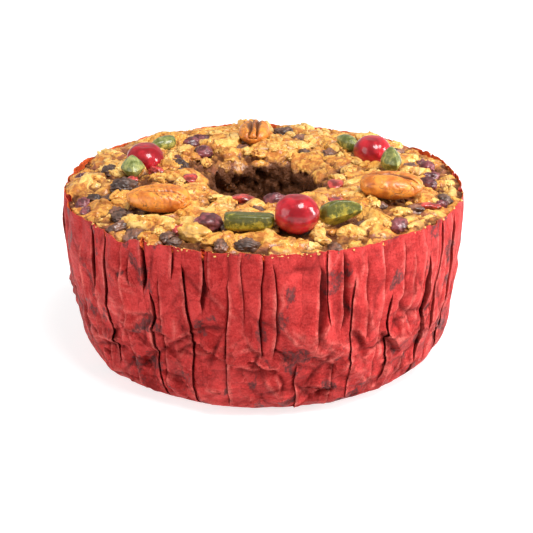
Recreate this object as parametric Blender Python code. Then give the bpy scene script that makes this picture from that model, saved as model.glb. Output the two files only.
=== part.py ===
"""Nut ring cake standing in its pleated paper case.

The cake is one solid ring of nuts and candied fruit with a low domed top. The case is one
knife-pleated sheet of paper: a wall, a round bottom corner and a ring-shaped base. Each topping as
large as a berry is a solid of its own, bedded in a socket that is cut into the cake.

Metres, +Z up. The origin is the centre of the base, on the surface the case stands on, and the
front of the cake faces -Y.
"""

import math
from collections import namedtuple

import bmesh
import bpy
from mathutils import Euler

MM = 0.001
FULL_TURN = 2.0 * math.pi

# Driving dimensions
CASE_RADIUS = 93.0 * MM
CASE_HEIGHT = 81.0 * MM
HOLE_RADIUS = 28.5 * MM
DOME_RISE = 4.0 * MM
PAPER = 0.5 * MM
GAP = 0.3 * MM

# Paper case
PLEATS = 56
PLEAT_DEPTH = 1.8 * MM
PLEAT_UNEVENNESS = 0.32
PLEAT_SWAY = 0.012
CREST_PLACE = 0.78
CORNER_RADIUS = 14.0 * MM
FOOT_SHARE = 0.905
BELLY_SHARE = 1.006
BELLY_HEIGHT = 0.86 * CASE_HEIGHT
RIM_WAVE = 0.7 * MM
NOTCH_ANGLE = math.radians(-131.0)
NOTCH_WIDTH = math.radians(4.5)
NOTCH_DEPTH = 4.5 * MM

# Cake ring
RING_COLUMNS = 60
DOME_WIDTH = 30.0 * MM
LUMP = 0.9 * MM
HOLE_RAGGEDNESS = 1.1 * MM
SOCKET_CLEARANCE = 0.4 * MM

# Toppings: angle in degrees round the ring from +X, distance from the axis and sizes in
# millimetres, turn in degrees from the tangent, sink as the share of the height below the surface
Topping = namedtuple("Topping", "name kind angle distance length width height turn sink")

TOPPINGS = (
    Topping("cherry_front", "cherry", -78.4, 70.9, 20.0, 19.6, 18.6, 0, 0.16),
    Topping("cherry_right", "cherry", 27.8, 60.0, 20.0, 19.4, 17.0, 20, 0.33),
    Topping("cherry_left", "cherry", 160.7, 60.2, 20.4, 19.6, 16.5, 40, 0.41),
    Topping("green_front_left", "green_slice", -95.2, 68.6, 22.6, 9.5, 9.0, 4, 0.32),
    Topping("green_front_right", "green_slice", -62.0, 69.6, 16.4, 10.0, 12.4, -26, 0.28),
    Topping("green_right_front", "green_slice", 8.2, 60.6, 14.5, 9.0, 12.0, 8, 0.28),
    Topping("green_right_back", "green_slice", 47.6, 60.4, 14.5, 9.0, 9.0, -20, 0.35),
    Topping("green_left_front", "green_slice", 177.2, 61.4, 13.0, 9.5, 10.0, 10, 0.32),
    Topping("green_left_back", "green_slice", 139.0, 66.0, 13.5, 9.0, 8.0, -8, 0.35),
    Topping("pecan_left", "pecan", -136.5, 64.2, 27.5, 18.2, 12.6, 43, 0.22),
    Topping("pecan_right", "pecan", -26.2, 64.4, 28.0, 18.2, 12.6, -70, 0.22),
    Topping("pecan_back", "pecan", 94.4, 58.5, 26.0, 15.0, 11.0, 82, 0.24),
    Topping("dark_cherry_1", "dark_cherry", -110.2, 69.2, 12.5, 11.0, 9.6, 15, 0.50),
    Topping("dark_cherry_2", "dark_cherry", -45.8, 84.0, 10.4, 7.6, 7.4, 10, 0.56),
    Topping("dark_cherry_3", "dark_cherry", -81.0, 33.6, 10.6, 7.8, 7.6, 0, 0.62),
    Topping("dark_cherry_4", "dark_cherry", -6.9, 77.0, 9.6, 7.6, 6.8, 30, 0.58),
    Topping("dark_cherry_5", "dark_cherry", 14.1, 81.4, 9.2, 7.2, 6.2, 0, 0.58),
    Topping("dark_cherry_6", "dark_cherry", 125.6, 60.4, 10.4, 8.4, 6.8, -15, 0.56),
    Topping("dark_cherry_7", "dark_cherry", 131.0, 44.6, 10.0, 8.2, 6.6, 25, 0.58),
    Topping("raisin_1", "raisin", -94.8, 83.2, 11.0, 7.6, 6.8, 5, 0.58),
    Topping("raisin_2", "raisin", -164.8, 66.4, 12.0, 9.0, 8.2, 70, 0.50),
    Topping("raisin_3", "raisin", -141.5, 80.0, 9.2, 7.0, 6.4, 40, 0.55),
    Topping("raisin_4", "raisin", 82.0, 72.0, 9.0, 7.0, 6.2, 20, 0.55),
    Topping("raisin_5", "raisin", 160.0, 42.6, 10.6, 8.0, 7.2, 60, 0.55),
    Topping("raisin_6", "raisin", 172.5, 73.6, 9.8, 7.6, 6.6, 15, 0.56),
    Topping("cherry_slice_1", "cherry_slice", -105.5, 35.2, 13.0, 7.4, 6.4, 6, 0.56),
    Topping("cherry_slice_2", "cherry_slice", -20.8, 36.0, 12.8, 8.0, 7.0, 10, 0.58),
    Topping("cherry_slice_3", "cherry_slice", -47.3, 48.4, 9.6, 7.4, 6.0, -20, 0.58),
    Topping("cherry_slice_4", "cherry_slice", -26.4, 81.6, 13.0, 5.6, 5.4, -62, 0.55),
    Topping("cherry_slice_5", "cherry_slice", -171.4, 34.4, 9.4, 7.2, 6.2, 0, 0.60),
    Topping("pale_fruit", "pale_fruit", -112.0, 78.6, 12.4, 8.6, 7.8, -10, 0.50),
)

# Base colour, roughness and coat of each material
FINISHES = {
    "cake_ring": ((0.50, 0.26, 0.09), 0.45, 0.4),
    "paper_case": ((0.55, 0.045, 0.04), 0.85, 0.0),
    "cherry": ((0.45, 0.006, 0.012), 0.12, 1.0),
    "green_slice": ((0.26, 0.27, 0.03), 0.25, 0.6),
    "pecan": ((0.56, 0.25, 0.06), 0.35, 0.5),
    "dark_cherry": ((0.09, 0.02, 0.03), 0.30, 0.5),
    "raisin": ((0.035, 0.018, 0.012), 0.45, 0.3),
    "cherry_slice": ((0.35, 0.02, 0.015), 0.25, 0.6),
    "pale_fruit": ((0.75, 0.50, 0.14), 0.35, 0.5),
}


def smooth_step(value):
    """Ease from 0 to 1."""
    value = min(max(value, 0.0), 1.0)
    return value * value * (3.0 - 2.0 * value)


def material(name):
    """The Principled material of one finish, made once."""
    found = bpy.data.materials.get(name)
    if found:
        return found
    colour, roughness, coat = FINISHES[name]
    made = bpy.data.materials.new(name)
    made.use_nodes = True
    shader = made.node_tree.nodes["Principled BSDF"]
    shader.inputs["Base Color"].default_value = (*colour, 1.0)
    shader.inputs["Roughness"].default_value = roughness
    shader.inputs["Metallic"].default_value = 0.0
    shader.inputs["Coat Weight"].default_value = coat
    return made


def mesh_object(name, points, faces, finish):
    """A smooth-shaded object from points and faces."""
    mesh = bpy.data.meshes.new(name)
    mesh.from_pydata(points, [], faces)
    mesh.validate()
    mesh.shade_smooth()
    mesh.set_sharp_from_angle(angle=math.radians(50.0))
    mesh.materials.append(material(finish))
    made = bpy.data.objects.new(name, mesh)
    bpy.context.collection.objects.link(made)
    return made


def turned_grid(name, columns, finish):
    """A closed ring-shaped skin from columns of points, each column a closed loop up the
    outside, over the top and down the inside."""
    count = len(columns)
    rows = len(columns[0])
    points = [point for column in columns for point in column]
    faces = []
    for c in range(count):
        after = (c + 1) % count
        for r in range(rows):
            above = (r + 1) % rows
            faces.append((c * rows + r, after * rows + r, after * rows + above, c * rows + above))
    return mesh_object(name, points, faces, finish)


def wall_radius(height):
    """Outer radius of the case at a height: a foot, a soft belly and a slight draw-in at the rim."""
    swell = math.sin(0.5 * math.pi * height / BELLY_HEIGHT)
    radius = CASE_RADIUS * (FOOT_SHARE + (BELLY_SHARE - FOOT_SHARE) * swell)
    drop = max(CORNER_RADIUS - height, 0.0)
    return radius - CORNER_RADIUS + math.sqrt(CORNER_RADIUS ** 2 - drop ** 2)


def case_rim(angle):
    """Height of the paper's rim, which waves a little and is torn at one notch."""
    wave = math.sin(3.0 * angle + 0.6) + 0.6 * math.sin(7.0 * angle) + 0.4 * math.sin(17.0 * angle)
    away = math.remainder(angle - NOTCH_ANGLE, FULL_TURN) / NOTCH_WIDTH
    return CASE_HEIGHT + 0.5 * RIM_WAVE * wave - NOTCH_DEPTH * math.exp(-away * away)


def wall_profile(inset):
    """Points (radius, height, fold, sway) up the case from its base hole to its rim, moved in by
    the inset along the sheet's normal. Fold is the share of the pleats' full depth there, and sway
    the share of their sideways drift. The last point stands at full case height."""
    profile = [(HOLE_RADIUS + inset, inset, 0.0, 0.0), (wall_radius(0.0), inset, 0.0, 0.0)]
    for slope, fold, sway in ((45.0, 0.7, 0.1), (90.0, 1.0, 0.3)):
        lean = math.radians(slope)
        height = CORNER_RADIUS * (1.0 - math.cos(lean))
        radius = wall_radius(height) - inset * math.sin(lean)
        profile.append((radius, height + inset * math.cos(lean), fold, sway))
    for share, sway in ((0.52, 1.0), (1.0, 0.2)):
        height = share * CASE_HEIGHT
        profile.append((wall_radius(height) - inset, height, 1.0, sway))
    return profile


def pleat_columns():
    """Angle and height of fold, 0 in a valley and 1 on a crest, of every column of points. Each
    pleat rises slowly to its crest and drops steeply to the next valley."""
    valleys = [pleat + PLEAT_UNEVENNESS * math.sin(2.4 * pleat) for pleat in range(PLEATS)]
    valleys.append(valleys[0] + PLEATS)
    columns = []
    for valley, following in zip(valleys, valleys[1:]):
        crest = valley + CREST_PLACE * (following - valley)
        columns.append((FULL_TURN * valley / PLEATS, 0.0))
        columns.append((FULL_TURN * crest / PLEATS, 1.0))
    return columns


def paper_case():
    """The pleated sheet: an outer and an inner skin that meet at the rim and at the base's hole."""
    loop = wall_profile(0.0) + wall_profile(PAPER)[::-1]
    columns = []
    for angle, crest in pleat_columns():
        drift = PLEAT_SWAY * math.sin(5.0 * angle + 1.0)
        column = []
        for radius, height, fold, sway in loop:
            reach = radius - PLEAT_DEPTH * fold * (1.0 - crest)
            turned = angle + drift * sway
            top = case_rim(angle) if height == CASE_HEIGHT else height
            column.append((reach * math.cos(turned), reach * math.sin(turned), top))
        columns.append(column)
    return turned_grid("paper_case", columns, "paper_case")


def hole_edge(angle):
    """Radius of the cake's ragged hole."""
    ragged = math.sin(5.0 * angle + 0.4) + 0.7 * math.sin(9.0 * angle + 2.0)
    return HOLE_RADIUS + 0.5 * HOLE_RAGGEDNESS * ragged


def top_height(x, y):
    """Height of the cake's top: a low dome between rim and hole with gentle lumps."""
    radius = math.hypot(x, y)
    dome = DOME_RISE * smooth_step((CASE_RADIUS - radius) / DOME_WIDTH)
    lumps = math.sin(x / (4.6 * MM) + 1.0) * math.sin(y / (5.2 * MM)) + 0.6 * math.sin((x + y) / (3.4 * MM))
    return CASE_HEIGHT + dome + 0.6 * LUMP * lumps


def cake_ring():
    """The cake: a lumpy domed ring that fills the case, with a ragged hole down its middle."""
    filling = wall_profile(PAPER + GAP)
    hole_drops = (0.0, 0.3, 0.62, 0.95)
    top_steps = (0.03, 0.2, 0.4, 0.6, 0.8, 1.0)
    columns = []
    for c in range(RING_COLUMNS):
        angle = FULL_TURN * c / RING_COLUMNS
        across = (math.cos(angle), math.sin(angle))
        hole = hole_edge(angle)
        outside = [(radius - PLEAT_DEPTH * fold, height) for radius, height, fold, _ in filling[1:-1]]
        rim = filling[-1][0] - PLEAT_DEPTH
        over = []
        for step in reversed(top_steps):
            radius = hole + (rim - hole) * step
            shoulder = 2.2 * MM * (1.0 - smooth_step((radius - hole) / (7.0 * MM)))
            over.append((radius, top_height(radius * across[0], radius * across[1]) - shoulder))
        brink = over[-1][1]
        down = []
        for drop in hole_drops[1:]:
            bulge = 0.8 * MM * math.sin(7.0 * angle + 9.0 * drop)
            down.append((hole + bulge, brink + (filling[0][1] - brink) * drop))
        down.append((hole, filling[0][1]))
        column = [(radius * across[0], radius * across[1], height) for radius, height in outside + over + down]
        columns.append(column)
    return turned_grid("cake_ring", columns, "cake_ring")


def closed_form(name, surface, stations, around, finish):
    """A closed skin between two poles: surface(share, turn) gives the point at a share of the way
    from pole to pole and at a turn round the line between them."""
    points = [surface(0.0, 0.0)]
    for station in range(1, stations):
        for step in range(around):
            points.append(surface(station / stations, FULL_TURN * step / around))
    points.append(surface(1.0, 0.0))
    last = len(points) - 1
    faces = []
    for step in range(around):
        after = (step + 1) % around
        faces.append((0, 1 + after, 1 + step))
        faces.append((last, last - around + step, last - around + after))
        for station in range(stations - 2):
            here = 1 + station * around
            faces.append((here + step, here + after, here + around + after, here + around + step))
    return mesh_object(name, points, faces, finish)


def rounded(value, power):
    """A sine or cosine pushed towards a box (power below 1) or a point (power above 1)."""
    return math.copysign(abs(value) ** power, value)


def cherry_form(share, turn):
    """A glazed cherry on end, with a shallow dimple where its stalk was."""
    lean = math.pi * share
    dimple = 0.10 * math.exp(-(lean / 0.42) ** 2)
    swell = 1.0 + 0.03 * math.sin(2.0 * turn + 0.5)
    width = math.sin(lean) * swell
    return (width * math.cos(turn), -width * math.sin(turn), math.cos(lean) - dimple)


def slice_form(share, turn):
    """A cut block of candied fruit, round at the edges and narrower at one end."""
    lean = math.pi * share
    taper = 1.0 + 0.28 * math.cos(lean)
    ring = abs(math.sin(lean)) ** 0.55 * taper
    across = rounded(math.cos(turn), 0.75)
    up = rounded(math.sin(turn), 0.75)
    return (-rounded(math.cos(lean), 0.8), ring * across * 0.86, ring * up * 0.86)


def pecan_form(share, turn):
    """A pecan half, back up: two lobes along its length with a groove between and cross dents."""
    lean = math.pi * share
    along = -math.cos(lean)
    ring = math.sin(lean) ** 0.8
    from_top = math.remainder(turn - 0.5 * math.pi - 0.35, FULL_TURN)
    groove = 1.0 - 0.20 * math.exp(-(from_top / 0.34) ** 2)
    dents = 1.0 - 0.05 * math.cos(5.0 * math.pi * along + 1.2 * math.cos(turn))
    reach = ring * groove * dents
    return (along, reach * math.cos(turn), reach * math.sin(turn))


def raisin_form(share, turn):
    """A dried fruit with long wrinkles."""
    lean = math.pi * share
    ring = math.sin(lean) * (1.0 + 0.10 * math.sin(3.0 * turn + 1.5 * math.cos(lean)))
    return (-math.cos(lean), ring * math.cos(turn), ring * math.sin(turn))


def fruit_form(share, turn):
    """A smooth, slightly uneven piece of fruit."""
    lean = math.pi * share
    ring = math.sin(lean) ** 0.9 * (1.0 + 0.05 * math.sin(2.0 * turn + 2.0 * math.cos(lean)))
    return (-math.cos(lean), ring * math.cos(turn), ring * math.sin(turn))


# Surface, stations and points round each kind of topping
FORMS = {
    "cherry": (cherry_form, 7, 12),
    "green_slice": (slice_form, 6, 8),
    "pecan": (pecan_form, 10, 10),
    "dark_cherry": (fruit_form, 5, 8),
    "raisin": (raisin_form, 5, 8),
    "cherry_slice": (fruit_form, 5, 8),
    "pale_fruit": (slice_form, 6, 8),
}


def lay_topping(topping):
    """Make one topping at its size and bed it in the cake's top."""
    form, stations, around = FORMS[topping.kind]
    half = [0.5 * MM * size for size in (topping.length, topping.width, topping.height)]

    def surface(share, turn):
        return tuple(extent * part for extent, part in zip(half, form(share, turn)))

    made = closed_form(topping.name, surface, stations, around, topping.kind)
    angle = math.radians(topping.angle)
    x = topping.distance * MM * math.cos(angle)
    y = topping.distance * MM * math.sin(angle)
    made.location = (x, y, top_height(x, y) + topping.height * MM * (0.5 - topping.sink))
    made.rotation_euler = Euler((0.0, 0.0, angle + 0.5 * math.pi + math.radians(topping.turn)))
    return made


def socket_cutter(toppings):
    """One mesh of all the toppings, each swollen by the clearance of its socket."""
    bpy.context.view_layer.update()
    skin = bmesh.new()
    for topping in toppings:
        first = len(skin.verts)
        skin.from_mesh(topping.data)
        skin.verts.ensure_lookup_table()
        added = skin.verts[first:]
        bmesh.ops.transform(skin, matrix=topping.matrix_world, verts=added)
    skin.normal_update()
    for vertex in skin.verts:
        vertex.co += vertex.normal * SOCKET_CLEARANCE
    mesh = bpy.data.meshes.new("socket_cutter")
    skin.to_mesh(mesh)
    skin.free()
    cutter = bpy.data.objects.new("socket_cutter", mesh)
    bpy.context.collection.objects.link(cutter)
    cutter.hide_render = True
    cutter.display_type = "WIRE"
    return cutter


def build():
    """The cake, its case and its toppings, with the sockets cut."""
    for leftover in list(bpy.data.objects):
        bpy.data.objects.remove(leftover)
    paper_case()
    cake = cake_ring()
    toppings = [lay_topping(topping) for topping in TOPPINGS]
    sockets = cake.modifiers.new("sockets", "BOOLEAN")
    sockets.operation = "DIFFERENCE"
    sockets.solver = "EXACT"
    sockets.use_self = True
    sockets.object = socket_cutter(toppings)


build()
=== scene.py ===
"""Looks of a nut ring cake in its pleated paper case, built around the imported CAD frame."""

import math

import bmesh
import bpy
import numpy as np
from mathutils import Matrix, Vector
from mathutils.bvhtree import BVHTree


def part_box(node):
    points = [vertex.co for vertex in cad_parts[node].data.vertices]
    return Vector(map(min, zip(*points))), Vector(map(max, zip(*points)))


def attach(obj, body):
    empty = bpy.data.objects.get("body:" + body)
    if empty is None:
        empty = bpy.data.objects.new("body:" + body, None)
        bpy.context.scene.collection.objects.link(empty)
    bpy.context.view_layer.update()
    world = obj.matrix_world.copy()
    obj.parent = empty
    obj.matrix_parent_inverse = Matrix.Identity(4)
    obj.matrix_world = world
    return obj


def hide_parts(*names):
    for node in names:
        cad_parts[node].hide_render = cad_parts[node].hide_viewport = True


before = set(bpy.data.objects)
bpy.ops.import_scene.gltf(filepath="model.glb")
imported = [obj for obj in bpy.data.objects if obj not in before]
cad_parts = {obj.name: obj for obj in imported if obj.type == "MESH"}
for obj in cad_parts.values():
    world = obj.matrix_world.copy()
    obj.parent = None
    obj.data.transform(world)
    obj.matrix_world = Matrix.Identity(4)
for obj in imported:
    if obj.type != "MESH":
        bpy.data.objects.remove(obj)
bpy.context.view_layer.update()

bl_info = {
    "name": "Nut ring cake",
    "version": (1, 0, 0),
    "blender": (4, 5, 0),
    "location": "3D View > Sidebar > Cake",
    "description": "Builds a nut ring cake in a pleated paper case",
    "category": "Add Mesh",
}

MM = 0.001
TURN = 2.0 * math.pi

CASE_LOW, CASE_HIGH = (Vector(corner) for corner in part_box("paper_case"))
CASE_RADIUS = 0.5 * (CASE_HIGH.x - CASE_LOW.x)
RIM_HEIGHT = 81.0 * MM
PAPER_PIECE = "paper_case_folded"
BODY_PIECE = "cake_body"


# ---------------------------------------------------------------------------
# Sizes and colours that a user would change
# ---------------------------------------------------------------------------


def length(name, description, default):
    """A length property in metres."""
    return bpy.props.FloatProperty(
        name=name, description=description, default=default, unit="LENGTH", precision=5
    )


def share(name, description, default):
    """A plain number property."""
    return bpy.props.FloatProperty(name=name, description=description, default=default, subtype="FACTOR")


def colour(name, description, default):
    """A linear colour property."""
    return bpy.props.FloatVectorProperty(
        name=name, description=description, default=default, size=3, min=0.0, max=1.0, subtype="COLOR"
    )


class CaseSettings(bpy.types.PropertyGroup):
    """The pleated paper case."""

    pleats: bpy.props.IntProperty(name="Pleats", description="Folds round the wall", default=66, min=40)
    tuck: length("Tuck depth", "How deep a fold's hidden edge lies behind the wall", 3.4 * MM)
    lift: length("Lift", "How far a fold's free edge stands off the wall", 1.0 * MM)
    crumple: share("Crumple", "Height of the creases pressed into the paper, as a share of the usual", 1.55)
    paper: length("Thickness", "Thickness of the paper", 0.25 * MM)
    red: colour("Paper", "Colour of the dry paper", (0.50, 0.020, 0.018))
    stain: colour("Grease", "Colour of the grease marks", (0.10, 0.026, 0.026))
    # The fold edge colour is the painted highlight along the crests of folds and creases.
    edge: colour("Fold edge", "Colour of the worn fold edges", (0.80, 0.19, 0.155))
    # The inner side's colour: partly the oil-soaked paper's own, partly painted light, the glow bounced from
    # the golden nuts and lightness where it lies in shade.
    oiled_and_lit: colour("Oiled paper", "Colour of the paper's inner side", (0.86, 0.145, 0.036))


class CakeSettings(bpy.types.PropertyGroup):
    """The cake, its nuts and its crumbs."""

    hole: length("Hole radius", "Radius of the ring's hole", 28.5 * MM)
    dome: length("Dome", "Rise of the top between rim and hole", 3.0 * MM)
    crumb: colour("Crumb", "Colour of the sticky crumb between the nuts", (0.37, 0.131, 0.030))
    # The syrup colour is real in the sticky patches and painted shade in the nuts' creases and low in their
    # beds.
    syrup: colour("Syrup", "Colour of the browned syrup in hollows", (0.25, 0.071, 0.011))
    # The crevice colour is painted shade, in the crumb's crevices and on the nuts at the hole's brink and
    # down the hole.
    deep: colour("Crevices", "Colour of the crumb in the crevices", (0.125, 0.036, 0.008))
    juice: colour("Juice", "Colour of the crumb stained by dark fruit", (0.28, 0.075, 0.045))
    nut: colour("Nut", "Colour of the glazed nut meat", (0.82, 0.39, 0.064))
    # The palest nut colour also paints the highlight on the nuts' swellings.
    nut_pale: colour("Pale nut", "Colour of the palest nut meat", (0.92, 0.57, 0.165))
    # The amber nut colour also paints shade on the nuts' flanks and creases.
    nut_amber: colour("Amber nut", "Colour of the browned nut skin", (0.53, 0.168, 0.024))


class FruitSettings(bpy.types.PropertyGroup):
    """The candied and dried fruit."""

    cherry: colour("Cherry", "Colour of the glazed cherries", (0.39, 0.004, 0.012))
    green: colour("Green fruit", "Colour of the candied green slices", (0.180, 0.143, 0.005))
    pecan: colour("Pecan", "Colour of the pecan halves", (0.65, 0.228, 0.018))
    plum: colour("Dark cherry", "Colour of the dark soaked cherries", (0.130, 0.020, 0.024))
    raisin: colour("Raisin", "Colour of the raisins", (0.074, 0.030, 0.014))
    red_slice: colour("Red slice", "Colour of the cut red cherries", (0.36, 0.030, 0.020))
    pale: colour("Pale fruit", "Colour of the pale yellow fruit", (0.60, 0.305, 0.062))


class StageSettings(bpy.types.PropertyGroup):
    """Floor, lights and camera."""

    distance: length("Camera distance", "Distance of the camera from the middle of the case", 0.744)
    elevation: bpy.props.FloatProperty(
        name="Camera elevation", description="Angle above the floor", default=math.radians(21.9),
        subtype="ANGLE",
    )
    lens: bpy.props.FloatProperty(
        name="Lens", description="Focal length in millimetres", default=104.6, min=10.0
    )
    floor: colour("Floor", "Colour of the floor", (0.50, 0.50, 0.50))
    glow: share("Floor glow", "Light that the backlit floor gives off", 0.71)
    sky: share("Room light", "Strength of the even light all round", 0.42)
    key: bpy.props.FloatProperty(
        name="Lights", description="Power of which every soft light takes its share", default=13.0,
        min=0.0, unit="POWER",
    )


SETTINGS = {
    "ring_cake_case": CaseSettings,
    "ring_cake_body": CakeSettings,
    "ring_cake_fruit": FruitSettings,
    "ring_cake_stage": StageSettings,
}


def settings(name):
    """The scene's settings of one group."""
    return getattr(bpy.context.scene, name)


# ---------------------------------------------------------------------------
# Noise on arrays of points
# ---------------------------------------------------------------------------


def scramble(i, j, k, seed):
    """A number from 0 to 1 for every whole-number cell."""
    mask = np.uint64(0xFFFFFFFF)
    value = i.astype(np.int64) * 374761393 + j.astype(np.int64) * 668265263
    value = value + k.astype(np.int64) * 2147483629 + seed * 1274126177
    value = value.astype(np.uint64) & mask
    value = ((value ^ (value >> np.uint64(13))) * np.uint64(1274126177)) & mask
    value = ((value ^ (value >> np.uint64(16))) * np.uint64(2246822519)) & mask
    value ^= value >> np.uint64(15)
    return value.astype(np.float64) / 4294967296.0


def waves(points, seed):
    """Smooth noise from -1 to 1 at every point, with one bump or so to a unit."""
    cell = np.floor(points).astype(np.int64)
    part = points - cell
    part = part * part * part * (part * (part * 6.0 - 15.0) + 10.0)
    total = 0.0
    for corner in range(8):
        step = np.array([corner & 1, (corner >> 1) & 1, (corner >> 2) & 1])
        weight = np.prod(np.where(step == 1, part, 1.0 - part), axis=-1)
        there = cell + step
        total = total + weight * scramble(there[..., 0], there[..., 1], there[..., 2], seed)
    return 2.0 * total - 1.0


def kinked(place, row, seed):
    """Straight-sided noise from -1 to 1 along one direction, its own for every row number."""
    cell = np.floor(place).astype(np.int64)
    row = np.asarray(row).astype(np.int64)
    here = scramble(cell, row, 0 * cell, seed)
    after = scramble(cell + 1, row, 0 * cell, seed)
    return 2.0 * (here + (after - here) * (place - cell)) - 1.0


def layered(points, octaves, seed):
    """Several octaves of smooth noise, about -1 to 1."""
    total = 0.0
    reach = 0.0
    for octave in range(octaves):
        strength = 0.5 ** octave
        total = total + strength * waves(points * 2.0 ** octave + 17.3 * octave, seed + octave)
        reach += strength
    return total / reach


def billows(points, octaves, seed, rough=0.5):
    """Round swellings parted by sharp creases, 0 in a crease and up to about 1 on a swelling."""
    total = 0.0
    reach = 0.0
    for octave in range(octaves):
        strength = rough ** octave
        swelling = np.abs(waves(points * 2.0 ** octave + 9.1 * octave, seed + octave))
        total = total + strength * swelling * 2.0
        reach += strength
    return np.clip(total / reach, 0.0, 1.5)


def cells(points, seed):
    """Distance to the nearest of many middles, scattered one to a unit cell."""
    home = np.floor(points).astype(np.int64)
    nearest = np.full(points.shape[:-1], 9.0)
    for step in np.ndindex(3, 3, 3):
        there = home + np.array(step) - 1
        i, j, k = there[..., 0], there[..., 1], there[..., 2]
        spots = np.stack([scramble(i, j, k, seed + axis) for axis in range(3)], axis=-1)
        away = np.sqrt(np.sum((there + spots - points) ** 2, axis=-1))
        nearest = np.minimum(nearest, away)
    return nearest


def ease(value):
    """Smooth step from 0 to 1, on numbers or arrays."""
    value = np.clip(value, 0.0, 1.0)
    return value * value * (3.0 - 2.0 * value)


# ---------------------------------------------------------------------------
# Meshes from arrays
# ---------------------------------------------------------------------------


def grid_faces(columns, rows, ring=True):
    """Faces of a grid that closes down its rows and, if it is a ring, round its columns too."""
    c = np.arange(columns if ring else columns - 1)[:, None]
    r = np.arange(rows)[None, :]
    after = (c + 1) % columns
    above = (r + 1) % rows
    corners = (c * rows + r, after * rows + r, after * rows + above, c * rows + above)
    return np.stack(np.broadcast_arrays(*corners), axis=-1).reshape(-1, 4)


def new_mesh(name, points, faces, attributes=(), sharp=None):
    """An object from an array of points and an array of faces, with named numbers at its points.
    Edges that bend by more than the angle sharp stay crisp."""
    mesh = bpy.data.meshes.new(name)
    mesh.vertices.add(len(points))
    mesh.vertices.foreach_set("co", np.asarray(points, dtype=np.float32).ravel())
    sides = faces.shape[1]
    mesh.loops.add(faces.size)
    mesh.loops.foreach_set("vertex_index", faces.ravel().astype(np.int32))
    mesh.polygons.add(len(faces))
    mesh.polygons.foreach_set("loop_start", np.arange(0, faces.size, sides, dtype=np.int32))
    mesh.update(calc_edges=True)
    mesh.shade_smooth()
    if sharp is not None:
        mesh.set_sharp_from_angle(angle=sharp)
    for label, numbers in attributes:
        layer = mesh.attributes.new(label, "FLOAT", "POINT")
        layer.data.foreach_set("value", np.asarray(numbers, dtype=np.float32).ravel())
    made = bpy.data.objects.new(name, mesh)
    bpy.context.collection.objects.link(made)
    return made


def globe(level):
    """Points and faces of a unit ball made of even triangles."""
    ball = bmesh.new()
    bmesh.ops.create_icosphere(ball, subdivisions=level, radius=1.0)
    points = np.array([vertex.co[:] for vertex in ball.verts])
    faces = np.array([[vertex.index for vertex in face.verts] for face in ball.faces])
    ball.free()
    return points / np.linalg.norm(points, axis=1, keepdims=True), faces


def piece_points(name):
    """The points of a piece that is already made."""
    mesh = bpy.data.objects[name].data
    points = np.empty(3 * len(mesh.vertices), dtype=np.float32)
    mesh.vertices.foreach_get("co", points)
    return points.reshape(-1, 3)


def turned(points, angle):
    """Points turned about the upright axis."""
    cos, sin = np.cos(angle), np.sin(angle)
    x, y, z = points[..., 0], points[..., 1], points[..., 2]
    return np.stack([x * cos - y * sin, x * sin + y * cos, z], axis=-1)


def finish_piece(piece, material, nodes=()):
    """Give a piece its material, and say where it belongs."""
    piece.data.materials.clear()
    piece.data.materials.append(material)
    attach(piece, "root")
    if nodes:
        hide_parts(*nodes)
    return piece


# ---------------------------------------------------------------------------
# Materials
# ---------------------------------------------------------------------------


def node(tree, kind, **values):
    """A shader node with its plain settings and the values of its named inputs."""
    made = tree.nodes.new(kind)
    for label, value in values.items():
        if label in made.inputs.keys():
            made.inputs[label].default_value = value
        else:
            setattr(made, label, value)
    return made


def math_node(tree, operation, first, second):
    """A Math node between two sockets or numbers."""
    made = tree.nodes.new("ShaderNodeMath")
    made.operation = operation
    for index, value in enumerate((first, second)):
        if isinstance(value, bpy.types.NodeSocket):
            tree.links.new(value, made.inputs[index])
        else:
            made.inputs[index].default_value = value
    return made.outputs[0]


def blend_colours(tree, factor, first, second, mode="MIX"):
    """A colour between two, each a socket or a linear colour."""
    made = tree.nodes.new("ShaderNodeMix")
    made.data_type = "RGBA"
    made.blend_type = mode
    for index, value in ((0, factor), (6, first), (7, second)):
        if isinstance(value, bpy.types.NodeSocket):
            tree.links.new(value, made.inputs[index])
        elif index == 0:
            made.inputs[0].default_value = value
        else:
            made.inputs[index].default_value = (*value, 1.0)
    return made.outputs[2]


def spread(tree, value, low, high, out_low=0.0, out_high=1.0):
    """Map a value between two limits smoothly onto two others."""
    made = tree.nodes.new("ShaderNodeMapRange")
    made.interpolation_type = "SMOOTHSTEP"
    tree.links.new(value, made.inputs["Value"])
    made.inputs["From Min"].default_value = low
    made.inputs["From Max"].default_value = high
    made.inputs["To Min"].default_value = out_low
    made.inputs["To Max"].default_value = out_high
    return made.outputs["Result"]


def attribute(tree, name):
    """The value of a named number on the mesh."""
    made = tree.nodes.new("ShaderNodeAttribute")
    made.attribute_name = name
    return made.outputs["Fac"]


def object_place(tree):
    """The position on the piece, in metres."""
    return tree.nodes.new("ShaderNodeTexCoord").outputs["Object"]


def noise_value(tree, place, scale, detail, rough, distortion=0.0):
    """A noise mask at a scale given in bumps per metre."""
    made = node(tree, "ShaderNodeTexNoise", Scale=scale, Detail=detail, Roughness=rough)
    made.inputs["Distortion"].default_value = distortion
    tree.links.new(place, made.inputs["Vector"])
    return made.outputs["Fac"]


def vector_node(tree, operation, first, second, output="Vector"):
    """A Vector Math node between two sockets or vectors."""
    made = tree.nodes.new("ShaderNodeVectorMath")
    made.operation = operation
    for index, value in enumerate((first, second)):
        if isinstance(value, bpy.types.NodeSocket):
            tree.links.new(value, made.inputs[index])
        else:
            made.inputs[index].default_value = value
    return made.outputs[output]


def stretched(tree, place, scale):
    """A position scaled by its own factor along each axis."""
    return vector_node(tree, "MULTIPLY", place, scale)


def bumped(tree, height, distance, strength):
    """A normal raised by a height."""
    made = node(tree, "ShaderNodeBump", Strength=strength, Distance=distance)
    tree.links.new(height, made.inputs["Height"])
    return made.outputs["Normal"]


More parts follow.
